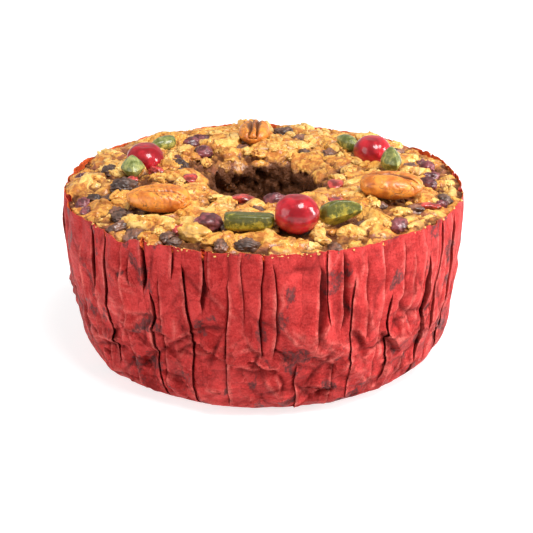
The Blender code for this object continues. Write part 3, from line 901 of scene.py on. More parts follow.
def fold_paths(case, draw, radius, along, up, on_wall):
    """Every fold's way round at every row: places along the wall and heights off it as (rows, folds,
    places), how far it is open, how deep it is tucked, whether its upper layer comes from the left,
    and where its own noise starts. Along is the distance up the paper and up the share of the rim's
    height."""
    angles, opens, closes, opening, depth, on_top = fold_list(case, draw).T
    count = len(angles)
    number = np.arange(count)[None, :]
    start_at = draw.uniform(0.0, 9.0, count)[None, :]
    drift = 1.5 * MM * kinked(along / (26.0 * MM) + start_at, number, 3)
    drift = drift + 0.8 * MM * kinked(along / (8.5 * MM) + start_at, number, 5)
    at_rim = ease((up - 0.88) / 0.12)
    centre = np.radians(angles)[None, :] * CASE_RADIUS + drift * (1.0 - 0.5 * at_rim)
    window = ease((up - opens) / 0.10) * ease((closes - up) / 0.10)
    loose = 0.85 + 0.35 * kinked(along / (22.0 * MM) + start_at, number, 7)
    alive = np.clip(window * loose, 0.03, 1.0)
    over = (0.15 * MM + 1.6 * MM * depth) * alive * (0.4 + 0.6 * on_wall)
    tuck = (0.20 * MM + case.tuck * (0.15 + 1.05 * depth)) * alive * (0.10 + 0.90 * on_wall)
    tuck = tuck * (1.0 - 0.30 * at_rim) * (0.55 + 0.45 * ease((up - 0.15) / 0.30))
    calm = 0.40 + 0.60 * ease((-np.sin(np.radians(angles)) - 0.25) / 0.30)
    lift = case.lift * draw.uniform(0.2, 1.5, count)[None, :] * alive * on_wall * calm[None, :]
    lift = lift * (1.0 + 0.7 * kinked(along / (12.0 * MM) + start_at, number, 9))
    part = np.clip((up - opens) / (closes - opens), 0.0, 1.0)
    leaf_shape = np.sin(math.pi * part) ** 0.8
    leaf_shape = np.where((closes > 1.03) & (part > 0.5), 1.0, leaf_shape)
    closed_below = ease((up - 0.20) / 0.32)
    uneven = 0.75 + 0.60 * kinked(along / (15.0 * MM) + 2.0 * start_at, number, 11)
    gape = leaf_shape * (0.25 + 0.75 * closed_below) * np.clip(uneven, 0.1, 1.2)
    slot = 0.05 * MM + opening * MM * gape * alive * on_wall
    room = np.minimum(np.roll(angles, -1) - angles, angles - np.roll(angles, 1)) % 360.0
    room = np.radians(room)[None, :] * radius[:, None]
    over = np.minimum(over, 0.12 * room)
    slot = np.minimum(slot, 0.55 * room)
    path = knife_fold(over, tuck, lift, slot, alive)
    rightward = on_top[None, :] > 0.5
    both_ways = list(zip(path, reversed(path)))
    fold_at = np.stack([np.where(rightward, this[0], -other[0]) for this, other in both_ways], axis=-1)
    fold_off = np.stack([np.where(rightward, this[1], other[1]) for this, other in both_ways], axis=-1)
    fold_at = fold_at + (centre * radius[:, None] / CASE_RADIUS)[..., None]
    return fold_at, fold_off, alive, tuck, rightward[0], start_at


def folded_rows(case, draw, radius, along, up, on_wall):
    """Every row's way round the case: places along the wall and heights off it, and the crest and
    tuck masks, each as (rows, columns), and the number of each column's fold."""
    paths = fold_paths(case, draw, radius, along, up, on_wall)
    fold_at, fold_off, alive, tuck, rightward, start_at = paths
    rows, count, places = fold_at.shape
    number = np.arange(count)[None, :]
    end = np.roll(fold_at[..., 0], -1, axis=1)
    end[:, -1] += TURN * radius
    width = end - fold_at[..., -1]
    points = np.maximum(np.round(width[-1] / PANEL_STEP).astype(int) - 1, 2)
    panel = np.repeat(np.arange(count), points)
    step = np.concatenate([np.arange(1, n + 1) / (n + 1) for n in points])[None, :]
    panel_at = fold_at[..., -1][:, panel] + width[:, panel] * step
    belly = 0.075 + 0.10 * kinked(along / (30.0 * MM) + start_at, number, 13)
    bulge = belly * np.clip(width, 0.0, 12.0 * MM) * (0.15 + 0.85 * on_wall)
    arch = (4.0 * step * (1.0 - step)) ** 0.7
    begin_off = fold_off[..., -1][:, panel] * (1.0 - step) ** 2
    finish_off = np.roll(fold_off[..., 0], -1, axis=1)[:, panel] * step ** 2
    panel_off = bulge[:, panel] * arch + begin_off + finish_off
    fold = np.repeat(np.arange(count), places)
    order = np.argsort(np.concatenate([fold, panel + 0.5]), kind="stable")
    at = np.concatenate([fold_at.reshape(rows, -1), panel_at], axis=1)[:, order]
    off = np.concatenate([fold_off.reshape(rows, -1), panel_off], axis=1)[:, order]
    masks = []
    for mask in (PATH_CREST, PATH_TUCK):
        along_fold = np.where(rightward[:, None], mask, mask[::-1]).reshape(-1)
        masks.append(np.concatenate([along_fold, np.zeros(len(panel))])[order][None, :])
    owner = np.concatenate([fold, panel])[order]
    # How deep a fold is tucked sets the strength of the painted shade in its tuck.
    deep = np.clip(tuck / (1.8 * MM), 0.0, 1.0)[:, owner]
    return at, off, masks[0] * alive[:, owner], masks[1] * deep * on_wall, owner


def notch(angle):
    """How deep in the torn notch of the rim each angle lies, from 0 to 1."""
    away = np.angle(np.exp(1j * (angle - NOTCH_ANGLE))) / NOTCH_WIDTH
    return np.exp(-away ** 4)


def pleated_sheet(case):
    """The case's outer skin: points as (rows, columns, 3) and the crest, tuck and pressed masks."""
    draw = np.random.default_rng(41)
    radius, height, out, down = case_profile()
    up = height[:, None] / RIM_HEIGHT
    along = np.concatenate([[0.0], np.cumsum(np.hypot(np.diff(radius), np.diff(height)))])[:, None]
    on_wall = ease((height[:, None] - 1.0 * MM) / (8.0 * MM))
    at_rim = ease((up - 0.88) / 0.12)
    low = ease((0.62 - up) / 0.30)
    at, off, crest, tucked, owner = folded_rows(case, draw, radius, along, up, on_wall)
    angle = at / radius[:, None]
    cos, sin = np.cos(angle), np.sin(angle)
    place = np.stack([cos * CASE_RADIUS / MM, sin * CASE_RADIUS / MM, along / MM + 0.0 * cos], axis=-1)
    broad = 0.8 * MM * layered(place / 19.0, 2, 21) * (1.0 - 0.7 * at_rim) * on_wall
    whole = float(along[-1, 0]) - float(along[height[:, None] <= 0.1 * MM].max())
    pressed, creases, hollows = pressed_creases(draw, angle, along - along[-1] + whole, whole)
    front = 0.45 + 0.55 * ease((-sin - 0.45) / 0.30)
    pressed = case.crumple * pressed * front * (1.0 - 0.6 * at_rim) * (0.1 + 0.9 * on_wall)
    raised = off + broad + pressed
    raised = np.where(height[:, None] < 0.1 * MM, np.minimum(raised, 0.0), raised)
    reach = radius[:, None] + out[:, None] * raised
    level = height[:, None] + down[:, None] * raised
    ring = np.stack([cos[-1] * 9.0, sin[-1] * 9.0, 0.0 * cos[-1]], axis=-1)
    edge = 0.6 * MM * waves(ring, 51) + 0.30 * MM * waves(ring * 6.0, 53)
    edge = edge + draw.uniform(-0.6, 0.5, int(owner.max()) + 1)[owner] * MM
    edge = edge - NOTCH_DEPTH * notch(angle[-1])
    level = np.maximum(level + edge[None, :] * ease((up - 0.80) / 0.20), 0.0)
    points = np.stack([reach * cos, reach * sin, level], axis=-1)
    # The crest mask carries the painted highlights and the tuck mask the painted shade.
    crest = np.clip(crest * (0.3 + 0.7 * on_wall) + creases * on_wall, 0.0, 1.0)
    tucked = np.maximum(tucked, 0.95 * hollows * on_wall)
    return points, crest, tucked, np.broadcast_to(0.20 + 0.80 * low, crest.shape)


def paper_case():
    """The whole sheet: pleated outer skin, cut rim and a plain lining behind it."""
    case = settings("ring_cake_case")
    outer, crest, tucked, pressed = pleated_sheet(case)
    columns = outer.shape[1]
    side = outer.copy()
    side[..., 2] = 0.0
    inward = -side / np.linalg.norm(side, axis=-1, keepdims=True)
    rim = outer[-1] + inward[-1] * case.paper
    angle = np.unwrap(np.arctan2(outer[-1, :, 1], outer[-1, :, 0]))
    lining = [rim]
    lip = rim.copy()
    lip[:, 2] -= 2.2 * MM
    lining.append(lip)
    even = np.linspace(0.0, TURN, columns, endpoint=False) + angle[0]
    hole = settings("ring_cake_body").hole
    for reach, level in (
        (CASE_RADIUS - 6.6 * MM, RIM_HEIGHT - 9.0 * MM),
        (CASE_RADIUS - 14.0 * MM, 0.25 * RIM_HEIGHT),
        (CASE_RADIUS - 25.0 * MM, 4.0 * MM),
        (hole + 2.0 * MM, 0.9 * MM),
        (hole, 0.5 * MM),
    ):
        upright = np.full(columns, level)
        lining.append(np.stack([reach * np.cos(even), reach * np.sin(even), upright], axis=-1))
    lining = np.stack(lining)
    points = np.concatenate([outer, lining]).transpose(1, 0, 2)
    masks = []
    # The lining: a faint painted highlight on its two rows at the rim, painted shade below them, and the
    # inner side's colour throughout.
    layers = ((crest, 0.2, 0.0), (tucked, 0.0, 0.6), (0.0 * crest, 1.0, 1.0), (pressed, 0.2, 0.2))
    for mask, rim_inside, inside in layers:
        hidden = np.full(lining.shape[:2], inside)
        hidden[:2] = rim_inside
        masks.append(np.concatenate([mask, hidden]).T)
    faces = grid_faces(columns, points.shape[1])
    numbers = zip(("crest", "tuck", "inner", "pressed"), masks)
    return new_mesh(PAPER_PIECE, points.reshape(-1, 3), faces, numbers, CRISP)


class RINGCAKE_OT_paper_case(bpy.types.Operator):
    """Fold the paper case."""

    bl_idname = "ring_cake.paper_case"
    bl_label = "Paper case"

    def execute(self, context):
        material = paper_material(settings("ring_cake_case"))
        finish_piece(paper_case(), material, ["paper_case"])
        return {"FINISHED"}


# ---------------------------------------------------------------------------
# Cake body
# ---------------------------------------------------------------------------


def top_height(radius):
    """Height of the cake's plain top at a distance from the axis."""
    cake = settings("ring_cake_body")
    dome = cake.dome * ease((CASE_RADIUS - 2.0 * MM - radius) / (30.0 * MM))
    shoulder = 2.0 * MM * ease((cake.hole + 6.0 * MM - radius) / (6.0 * MM))
    return RIM_HEIGHT - 1.4 * MM + dome - shoulder


def paper_reach(angle):
    """How far out the paper lets the cake go at the rim, at each angle."""
    points = piece_points(PAPER_PIECE)
    reach = np.hypot(points[:, 0], points[:, 1])
    near_rim = (points[:, 2] > RIM_HEIGHT - 6.0 * MM) & (reach > CASE_RADIUS - 6.0 * MM)
    points, reach = points[near_rim], reach[near_rim]
    slices = 480
    slot = ((np.arctan2(points[:, 1], points[:, 0]) / TURN) % 1.0 * slices).astype(int) % slices
    inner = np.full(slices, CASE_RADIUS)
    np.minimum.at(inner, slot, reach)
    inner = np.minimum(np.minimum(inner, np.roll(inner, 1)), np.roll(inner, -1))
    middles = (np.arange(slices) + 0.5) / slices * TURN
    return np.interp(angle, middles, inner - 0.35 * MM, period=TURN) - 2.4 * MM * notch(angle)


def cake_relief(place):
    """The crumb's unevenness in millimetres at places in millimetres, and a mask of its nut meat.
    Winding masses of nut alternate with clumps of crumb and pits."""
    bent = place + 1.6 * layered(place / 6.0, 2, 71)[..., None]
    sway = np.stack([layered(place / 9.0, 2, 171 + 5 * axis) for axis in range(3)], axis=-1)
    line = np.abs(waves((place + 3.4 * sway) / 8.5, 161))
    folds = 1.0 - (1.0 - np.clip(line / 0.34, 0.0, 1.0)) ** 2
    meaty = ease((layered(place / 13.0, 2, 165) + 0.12) / 0.16)
    lumps = 1.0 - 1.9 * cells(bent / 5.2, 61) ** 2
    clumps = 1.0 - 1.9 * cells(bent / 2.6, 67) ** 2
    grit = 0.6 * layered(place / 0.9, 2, 63) - 0.5 * cells(place / 1.5, 65)
    pits = ease((layered(place / 4.6, 2, 73) - 0.14) / 0.26) * (1.0 - 0.5 * meaty)
    crumbly = 1.3 * lumps + 0.85 * clumps - 0.6
    relief = crumbly + (3.0 * folds - 0.2 + 0.5 * clumps - crumbly) * meaty
    return relief + 0.40 * grit - 2.8 * pits, meaty * folds


# The nuts by kind: name, fineness, how many, sizes in millimetres, how closely they are lobed and
# how deeply, how long they are drawn, spacing, and how far they stand proud in millimetres.
NUT_KINDS = (
    ("walnut_lumps", 5, 28, (7.0, 10.5), 1.45, 0.42, (1.1, 1.7), 0.60, (3.8, 6.4)),
    ("pecan_lumps", 4, 76, (4.4, 6.6), 1.20, 0.42, (1.1, 1.8), 0.62, (3.0, 5.4)),
    ("nut_chips", 4, 58, (2.8, 4.2), 1.00, 0.40, (1.0, 1.7), 0.66, (2.4, 4.6)),
    ("nut_bits", 3, 90, (1.3, 2.4), 0.90, 0.40, (1.0, 1.5), 0.80, (1.2, 3.0)),
)


def nut_layout():
    """Where the nuts lie: for every kind, rows of x, y, radius and height above the plain top."""
    draw = np.random.default_rng(7)
    taken = topping_spots()
    round_rim = np.linspace(0.0, TURN, 720, endpoint=False)
    rim = (round_rim, paper_reach(round_rim))
    layout = {}
    for name, _, count, size_range, *_, spacing, proud in NUT_KINDS:
        sizes = np.sort(draw.uniform(*size_range, count))[::-1] * MM
        spots, taken = scatter(draw, sizes, taken, spacing, settings("ring_cake_body").hole, rim)
        reach = np.hypot(spots[:, 0], spots[:, 1])
        room = 0.35 + 0.65 * ease((CASE_RADIUS - 3.0 * MM - reach) / (9.0 * MM))
        layout[name] = np.column_stack([spots, draw.uniform(*proud, len(spots)) * MM * room])
    return layout, rim


def mounds(x, y):
    """How high the sticky crumb climbs round the nuts, over the plain top."""
    height = np.zeros(x.shape)
    for rows in nut_layout()[0].values():
        for at_x, at_y, size, proud in rows:
            away = ((x - at_x) ** 2 + (y - at_y) ** 2) / (1.35 * size) ** 2
            height = np.maximum(height, 0.30 * proud * np.clip(1.0 - away, 0.0, 1.0) ** 0.7)
    return height


def room_for_toppings(x, y):
    """How far from a topping each place is, from 0 under it to 1 well clear of it."""
    clear = np.ones(x.shape)
    for at_x, at_y, size in topping_spots():
        away = np.hypot(x - at_x, y - at_y) - size
        clear = np.minimum(clear, ease(away / (3.5 * MM)))
    return clear


def cake_body():
    """The ring of crumb, lumpy on its top and down its hole."""
    cake = settings("ring_cake_body")
    columns = 540
    angle = np.linspace(0.0, TURN, columns, endpoint=False)
    edge = paper_reach(angle)[:, None]
    hole = cake.hole + 0.4 * MM
    floor = 1.0 * MM
    under = np.array([[0.74, 0.0], [0.86, 8.0 * MM], [0.93, 0.6 * RIM_HEIGHT]])
    over = np.linspace(0.0, 1.0, 94)
    down = np.linspace(0.0, 1.0, 48)[1:]
    brink = float(top_height(np.array(hole)))
    side = under[:, 0] * (edge - 2.0 * MM)
    top = edge + (hole - edge) * over
    inside = np.full((columns, len(down)), hole)
    radius = np.concatenate([side, top, inside], axis=1)
    side_height = np.broadcast_to(np.maximum(under[:, 1], floor), side.shape)
    wall_height = np.broadcast_to(brink + (floor - brink) * down, inside.shape)
    height = np.concatenate([side_height, top_height(top), wall_height], axis=1)
    on_top = np.concatenate([np.zeros(len(under)), np.ones(len(over)), np.zeros(len(down))])
    on_wall = np.concatenate([np.zeros(len(under) + len(over)), np.ones(len(down))])
    on_wall[-1] = 0.0
    turn_in = ease((hole + 4.0 * MM - radius) / (4.0 * MM)) * on_top
    inward = np.maximum(turn_in, on_wall)
    upward = np.sqrt(np.maximum(on_top - turn_in ** 2, 0.0)) * on_top
    cos, sin = np.cos(angle)[:, None], np.sin(angle)[:, None]
    plain = np.stack([radius * cos, radius * sin, height], axis=-1)
    relief, meaty = cake_relief(plain / MM)
    near_edge = ease((edge - radius) / (5.0 * MM))
    clear = room_for_toppings(plain[..., 0], plain[..., 1])
    lowered = np.minimum(relief, 3.2 * clear - 0.6)
    depth = MM * (relief * on_wall * 1.2 + lowered * on_top * (0.20 + 0.75 * near_edge))
    climbing = np.zeros(radius.shape)
    whole_top = slice(len(under), len(under) + len(over))
    climbing[:, whole_top] = mounds(plain[:, whole_top, 0], plain[:, whole_top, 1])
    reach = radius - inward * depth
    level = height + upward * (depth + climbing)
    uneven = level + 3.0 * MM * layered(plain / (6.0 * MM), 2, 63)
    # Painted shade down the hole: below the brink, in uneven patches, the crumb fades to the crevice colour
    # and its golden nut meat fades too.
    in_hole = ease((hole + 2.2 * MM - radius) / (1.2 * MM))
    light = 1.0 - 0.86 * ease((RIM_HEIGHT + 0.4 * MM - uneven) / (4.0 * MM)) * in_hole
    proud = ease((relief + 2.0) / 4.6) * light
    points = np.stack([reach * cos, reach * sin, level], axis=-1)
    faces = grid_faces(columns, radius.shape[1])
    numbers = (("proud", proud), ("meaty", meaty * light))
    return new_mesh(BODY_PIECE, points.reshape(-1, 3), faces, numbers)


class RINGCAKE_OT_body(bpy.types.Operator):
    """Fill the case with crumb."""

    bl_idname = "ring_cake.body"
    bl_label = "Cake body"

    def execute(self, context):
        finish_piece(cake_body(), crumb_material(settings("ring_cake_body")), ["cake_ring"])
        return {"FINISHED"}


# ---------------------------------------------------------------------------
# Nuts and small fruit
# ---------------------------------------------------------------------------


# How often a place is looked for before a nut is left out.
TRIES = 60
HOLE_NUTS = 140
LOOSE_CRUMBS = 640
RIM_CRUMBS = 150
RIM_CLUSTERS = 34
# The loose crumbs keep this far from the axis.
CRUMB_REACH = 30.0 * MM
# A height above everything, from which the top is looked for.
LOOK_FROM = 200.0 * MM


def topping_spots():
    """Centre and radius, seen from above, of every topping that the CAD names."""
    spots = []
    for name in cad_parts:
        if name in ("paper_case", "cake_ring"):
            continue
        centre, half, heading = lie(name)
        step = np.array([math.cos(heading), math.sin(heading)]) * 0.5 * (half[0] - half[1])
        for way in (-1.0, 1.0):
            spots.append((*(centre[:2] + way * step), 0.92 * half[1]))
    for _, angle, reach, size in SMALL_FRUIT:
        angle = math.radians(angle)
        spots.append((reach * MM * math.cos(angle), reach * MM * math.sin(angle), 0.35 * size * MM))
    return np.array(spots)


def scatter(draw, sizes, taken, spacing, inner, rim):
    """Places for round things on the top, largest first, that keep clear of what is taken."""
    placed = []
    taken = [tuple(spot) for spot in taken]
    for size in sizes:
        for _ in range(TRIES):
            angle = draw.uniform(0.0, TURN)
            outer = np.interp(angle, *rim, period=TURN) - 0.7 * size
            reach = math.sqrt(draw.uniform((inner + 1.15 * size + 0.5 * MM) ** 2, outer ** 2))
            spot = (reach * math.cos(angle), reach * math.sin(angle))
            others = np.array(taken)
            gap = np.hypot(others[:, 0] - spot[0], others[:, 1] - spot[1])
            if np.all(gap > spacing * (others[:, 2] + size)):
                taken.append((*spot, size))
                placed.append((*spot, size))
                break
    return np.array(placed), taken


def cut_lumps(draw, points, stretch, thinnest, farthest, firmness):
    """Lumps of unit size, each drawn out and pressed flatter by its own amount and cut nearly flat
    on two sides."""
    count = len(points)
    long = draw.uniform(*stretch, (count, 1))
    thin = draw.uniform(thinnest, 0.90, (count, 1))
    points = np.stack([points[..., 0] * long, points[..., 1] / np.sqrt(long), points[..., 2] * thin], axis=-1)
    facing = draw.normal(0.0, 1.0, (count, 2, 3))
    facing /= np.linalg.norm(facing, axis=-1, keepdims=True)
    limit = draw.uniform(0.45, farthest, (count, 2))
    for cut in range(2):
        beyond = np.sum(points * facing[:, None, cut], axis=-1) - limit[:, None, cut]
        points = points - np.maximum(beyond, 0.0)[..., None] * firmness * facing[:, None, cut]
    return points


def lump_forms(draw, count, level, ridge, grit, stretch):
    """Shapes of many lumps of unit size: points as (lumps, points, 3), faces, and the swell mask."""
    ball, faces = globe(level)
    offset = draw.uniform(0.0, 90.0, (count, 1, 3))
    broad = layered(ball[None] * 0.9 + offset, 2, 81)
    bent = ball[None] * 1.2 + 0.35 * broad[..., None]
    lobes = np.clip(billows(bent * 1.15 + offset + 11.0, 2, 83, 0.35), 0.0, 1.0)
    lobes = 1.0 - (1.0 - lobes) ** 2.4
    wrinkles = layered(bent * 2.3 + offset + 23.0, 2, 87)
    fine = layered(ball[None] * 6.0 + offset, 2, 85)
    size = 0.80 + 0.20 * broad + ridge * (lobes - 0.7) + 0.22 * ridge * wrinkles + grit * fine
    points = cut_lumps(draw, ball[None] * size[..., None], stretch, 0.60, 0.95, 0.85)
    return points, faces, np.clip(0.85 * lobes + 0.15 + 0.22 * wrinkles, 0.0, 1.0)


def nut_forms(draw, count, level, lobes, depth, stretch):
    """Shapes of many broken nut pieces of unit size, wound into lobes with creases between and cut
    flat in places: points as (pieces, points, 3), faces, and the swell mask."""
    ball, faces = globe(level)
    offset = draw.uniform(0.0, 90.0, (count, 1, 3))
    start = ball[None] * 1.1 + offset
    bend = np.stack([layered(start + 31.0 * axis, 2, 83 + 2 * axis) for axis in range(3)], axis=-1)
    line = np.abs(waves(ball[None] * lobes + 0.75 * bend + offset, 90))
    swell = 1.0 - (1.0 - np.clip(line / 0.36, 0.0, 1.0)) ** 2
    small = billows(ball[None] * 2.0 * lobes + offset, 1, 87)
    ripple = layered(ball[None] * 5.0 + offset, 2, 85)
    size = 0.62 + 0.24 * layered(ball[None] * 0.9 + offset, 2, 81) + depth * swell
    size = size + 0.10 * np.clip(small, 0.0, 1.0) + 0.035 * ripple
    points = cut_lumps(draw, ball[None] * size[..., None], stretch, 0.62, 1.0, 0.80)
    return points, faces, np.clip(0.10 + 0.85 * swell + 0.12 * small + 0.2 * ripple, 0.0, 1.0)


def tumble(draw, count, tilt):
    """Random turns: any heading, and a tilt up to a limit."""
    turns = []
    for _ in range(count):
        axis = Vector((draw.normal(), draw.normal(), 0.0)).normalized()
        lean = Matrix.Rotation(draw.uniform(-tilt, tilt), 3, axis)
        turns.append(np.array(lean @ Matrix.Rotation(draw.uniform(0.0, TURN), 3, "Z")))
    return np.array(turns)


def joined_lumps(name, points, faces, swell, tone, bed=None):
    """One mesh of many placed lumps, with a tone for each and a mask of what lies low in its bed."""
    count, many = points.shape[:2]
    all_faces = (faces[None] + (np.arange(count) * many)[:, None, None]).reshape(-1, 3)
    if bed is None:
        bed = top_height(np.hypot(points[..., 0], points[..., 1]))
    # The low mask: where the nut material paints shade near the bed.
    low = 0.95 * ease((bed + 1.5 * MM - points[..., 2]) / (2.2 * MM))
    numbers = (("tone", np.repeat(tone, many)), ("swell", swell), ("low", low))
    return new_mesh(name, points.reshape(-1, 3), all_faces, numbers)


def bedded(forms, turns, spots, proud):
    """Lumps turned, sized and let down until only their own share stands proud of the plain top."""
    points = np.einsum("nij,nmj->nmi", turns, forms) * spots[:, 2][:, None, None]
    level = top_height(np.hypot(spots[:, 0], spots[:, 1])) + proud - points[..., 2].max(axis=1)
    points[..., 0] += spots[:, 0][:, None]
    points[..., 1] += spots[:, 1][:, None]
    points[..., 2] += level[:, None]
    return points


def kept_in(points, rim):
    """Lumps pressed back to where the paper holds them, though they may hang a little over its rim."""
    reach = np.hypot(points[..., 0], points[..., 1])
    over_rim = ease((points[..., 2] - RIM_HEIGHT) / (1.5 * MM)) * 0.4 * MM
    limit = np.interp(np.arctan2(points[..., 1], points[..., 0]), *rim, period=TURN) + over_rim
    points[..., :2] *= np.minimum(1.0, limit / reach)[..., None]
    return points


def nut_pieces():
    """All the nut lumps: large ones laid first, smaller ones in what is left."""
    material = nut_material(settings("ring_cake_body"))
    draw = np.random.default_rng(9)
    layout, rim = nut_layout()
    made = []
    for name, level, _, _, lobes, depth, stretch, _, _ in NUT_KINDS:
        spots, proud = layout[name][:, :3], layout[name][:, 3]
        forms, faces, swell = nut_forms(draw, len(spots), level, lobes, depth, stretch)
        points = bedded(forms, tumble(draw, len(spots), 0.35), spots, proud)
        tone = np.clip(draw.normal(0.5, 0.24, len(spots)), 0.0, 1.0)
        # Painted shade: nuts at the hole's brink get a lower tone, which darkens them.
        brink = settings("ring_cake_body").hole + 4.0 * MM
        tone = tone - 0.7 * ease((brink - np.hypot(spots[:, 0], spots[:, 1]) + spots[:, 2]) / (5.0 * MM))
        bed = (top_height(np.hypot(spots[:, 0], spots[:, 1])) + 0.12 * proud)[:, None]
        made.append(joined_lumps(name, kept_in(points, rim), faces, swell, tone, bed))
    made.append(hole_nuts(draw))
    for piece in made:
        finish_piece(piece, material)


def hole_nuts(draw):
    """Lumps that stand out of the hole's wall."""
    cake = settings("ring_cake_body")
    count = HOLE_NUTS
    size = draw.uniform(2.2, 4.6, count) * MM
    angle = draw.uniform(0.0, TURN, count)
    down = draw.uniform(0.03, 0.97, count) ** 1.2
    height = np.maximum(RIM_HEIGHT * (1.0 - down), 1.7 * size)
    reach = cake.hole + 0.90 * size
    forms, faces, swell = lump_forms(draw, count, 3, 0.3, 0.04, (1.0, 1.6))
    points = np.einsum("nij,nmj->nmi", tumble(draw, count, 1.5), forms) * size[:, None, None]
    points += np.column_stack([reach * np.cos(angle), reach * np.sin(angle), height])[:, None, :]
    # Painted light and shade: nuts near the brink lit a little at random, the rest shaded darker the deeper
    # they lie.
    lit = np.clip(draw.normal(0.10, 0.15, count), 0.0, 1.0) * (1.0 - ease(down / 0.15))
    shaded = ease((down + draw.normal(0.01, 0.04, count)) / 0.15)
    tone = lit - 0.36 * shaded * draw.uniform(0.70, 1.15, count)
    return joined_lumps("nut_lumps_hole", points, faces, swell, tone)


class RINGCAKE_OT_nuts(bpy.types.Operator):
    """Strew the nuts over the top and down the hole."""

    bl_idname = "ring_cake.nuts"
    bl_label = "Nuts"

    def execute(self, context):
        nut_pieces()
        return {"FINISHED"}


# The small fruit: kind, angle in degrees, distance from the axis and size in millimetres.
SMALL_FRUIT = (
    ("raisin", -163.0, 81.0, 7.0), ("brown", -158.0, 75.5, 6.3), ("plum", 176.0, 86.0, 6.6),
    ("plum", -160.0, 87.0, 7.2), ("brown", -129.5, 86.5, 10.5), ("red", -118.0, 77.0, 7.0),
    ("raisin", -116.0, 86.0, 6.0), ("brown", -102.0, 87.0, 6.7), ("raisin", -103.0, 69.0, 6.0),
    ("brown", -55.0, 73.5, 7.0), ("raisin", -17.0, 86.0, 7.4), ("red", 170.0, 51.0, 8.6),
    ("brown", -70.0, 88.0, 7.6), ("brown", -146.0, 78.0, 7.5), ("raisin", -140.0, 76.0, 6.0),
    ("plum", 118.0, 66.0, 8.0), ("brown", 104.0, 46.0, 9.0), ("raisin", 60.0, 40.0, 7.0),
    ("plum", 20.0, 82.0, 7.0), ("plum", 3.0, 79.0, 7.5), ("red", -50.0, 47.0, 5.5),
    ("brown", -93.0, 48.0, 6.0), ("raisin", 150.0, 74.0, 7.0), ("plum", 86.0, 61.0, 8.5),
    ("brown", 128.0, 50.0, 7.0), ("red", -172.0, 62.0, 5.0), ("brown", -37.0, 66.0, 5.5),
    ("plum", 146.0, 50.0, 8.0), ("brown", 164.0, 58.0, 9.0), ("brown", -136.5, 86.5, 8.0),
    ("plum", -154.0, 88.0, 6.0), ("brown", -31.0, 78.0, 8.0), ("plum", -21.0, 86.0, 6.0),
    ("brown", 73.0, 63.0, 8.0), ("brown", 13.0, 72.0, 8.0), ("brown", 45.0, 46.0, 8.0),
    ("brown", -119.0, 84.0, 7.0), ("plum", 108.0, 80.0, 8.0), ("brown", 34.0, 80.0, 7.0),
)


def small_fruit(kind, draw):
    """The scattered small fruit of one kind, in one mesh, bedded in the top."""
    rows = [row[1:] for row in SMALL_FRUIT if row[0] == kind]
    count = len(rows)
    angle = np.radians([row[0] for row in rows])
    reach = np.array([row[1] for row in rows]) * MM
    size = 0.5 * np.array([row[2] for row in rows]) * MM
    ball, faces = globe(4)
    offset = draw.uniform(0.0, 90.0, (count, 1, 3))
    folds = billows(ball[None] * np.array([1.3, 2.3, 2.3]) + offset, 3, 105, 0.55)
    bulges = layered(ball[None] * 1.2 + offset, 2, 107)
    size_of = 0.90 + 0.36 * (folds - 0.45) + 0.22 * bulges
    forms = ball[None] * size_of[..., None] * np.array([1.20, 0.90, 0.72])
    spots = np.column_stack([reach * np.cos(angle), reach * np.sin(angle), size])
    points = bedded(forms, tumble(draw, count, 0.3), spots, draw.uniform(2.4, 4.4, count) * MM)
    return joined_lumps("small_fruit_" + kind, points, faces, folds, np.full(count, 0.5))


class RINGCAKE_OT_small_fruit(bpy.types.Operator):
    """Strew the small pieces of fruit that lie between the nuts."""

    bl_idname = "ring_cake.small_fruit"
    bl_label = "Small fruit"

    def execute(self, context):
        draw = np.random.default_rng(23)
        brown = fruit_material("Brown raisin", (0.13, 0.045, 0.018), 0.42, 0.28, 0.12)
        looks = {
            "raisin": bpy.data.materials["Raisin"], "plum": bpy.data.materials["Dark cherry"],
            "red": bpy.data.materials["Red cherry flesh"], "brown": brown,
        }
        for kind, material in looks.items():
            finish_piece(small_fruit(kind, draw), material)
        return {"FINISHED"}


def real_top():
    """The cake's real top, with its nuts and its case, as a tree of triangles."""
    points, triangles = [], []
    for name in (BODY_PIECE, PAPER_PIECE, *(row[0] for row in NUT_KINDS)):
        mesh = bpy.data.objects[name].data
        mesh.calc_loop_triangles()
        first = len(points)
        points.extend(vertex.co[:] for vertex in mesh.vertices)
        triangles.extend(tuple(first + corner for corner in face.vertices) for face in mesh.loop_triangles)
    return BVHTree.FromPolygons(points, triangles, all_triangles=True)


def height_at(tree, x, y):
    """Height of the real top at a place, or nothing off the top."""
    hit = tree.ray_cast(Vector((x, y, LOOK_FROM)), Vector((0.0, 0.0, -1.0)))[0]
    return hit.z if hit is not None else None


def rim_spots(draw, count):
    """Places on the paper's cut rim, in clusters, for crumbs that stick there."""
    points = piece_points(PAPER_PIECE)
    reach = np.hypot(points[:, 0], points[:, 1])
    edge = points[(points[:, 2] > RIM_HEIGHT - 1.1 * MM) & (reach > CASE_RADIUS - 1.6 * MM)]
    middles = draw.integers(0, len(edge), RIM_CLUSTERS)
    chosen = middles[draw.integers(0, len(middles), count)]
    chosen = chosen + np.round(draw.normal(0.0, 9.0, count)).astype(int)
    spots = edge[chosen % len(edge)].astype(float)
    spots[:, 2] += draw.normal(-0.2, 0.35, count) * MM
    return spots


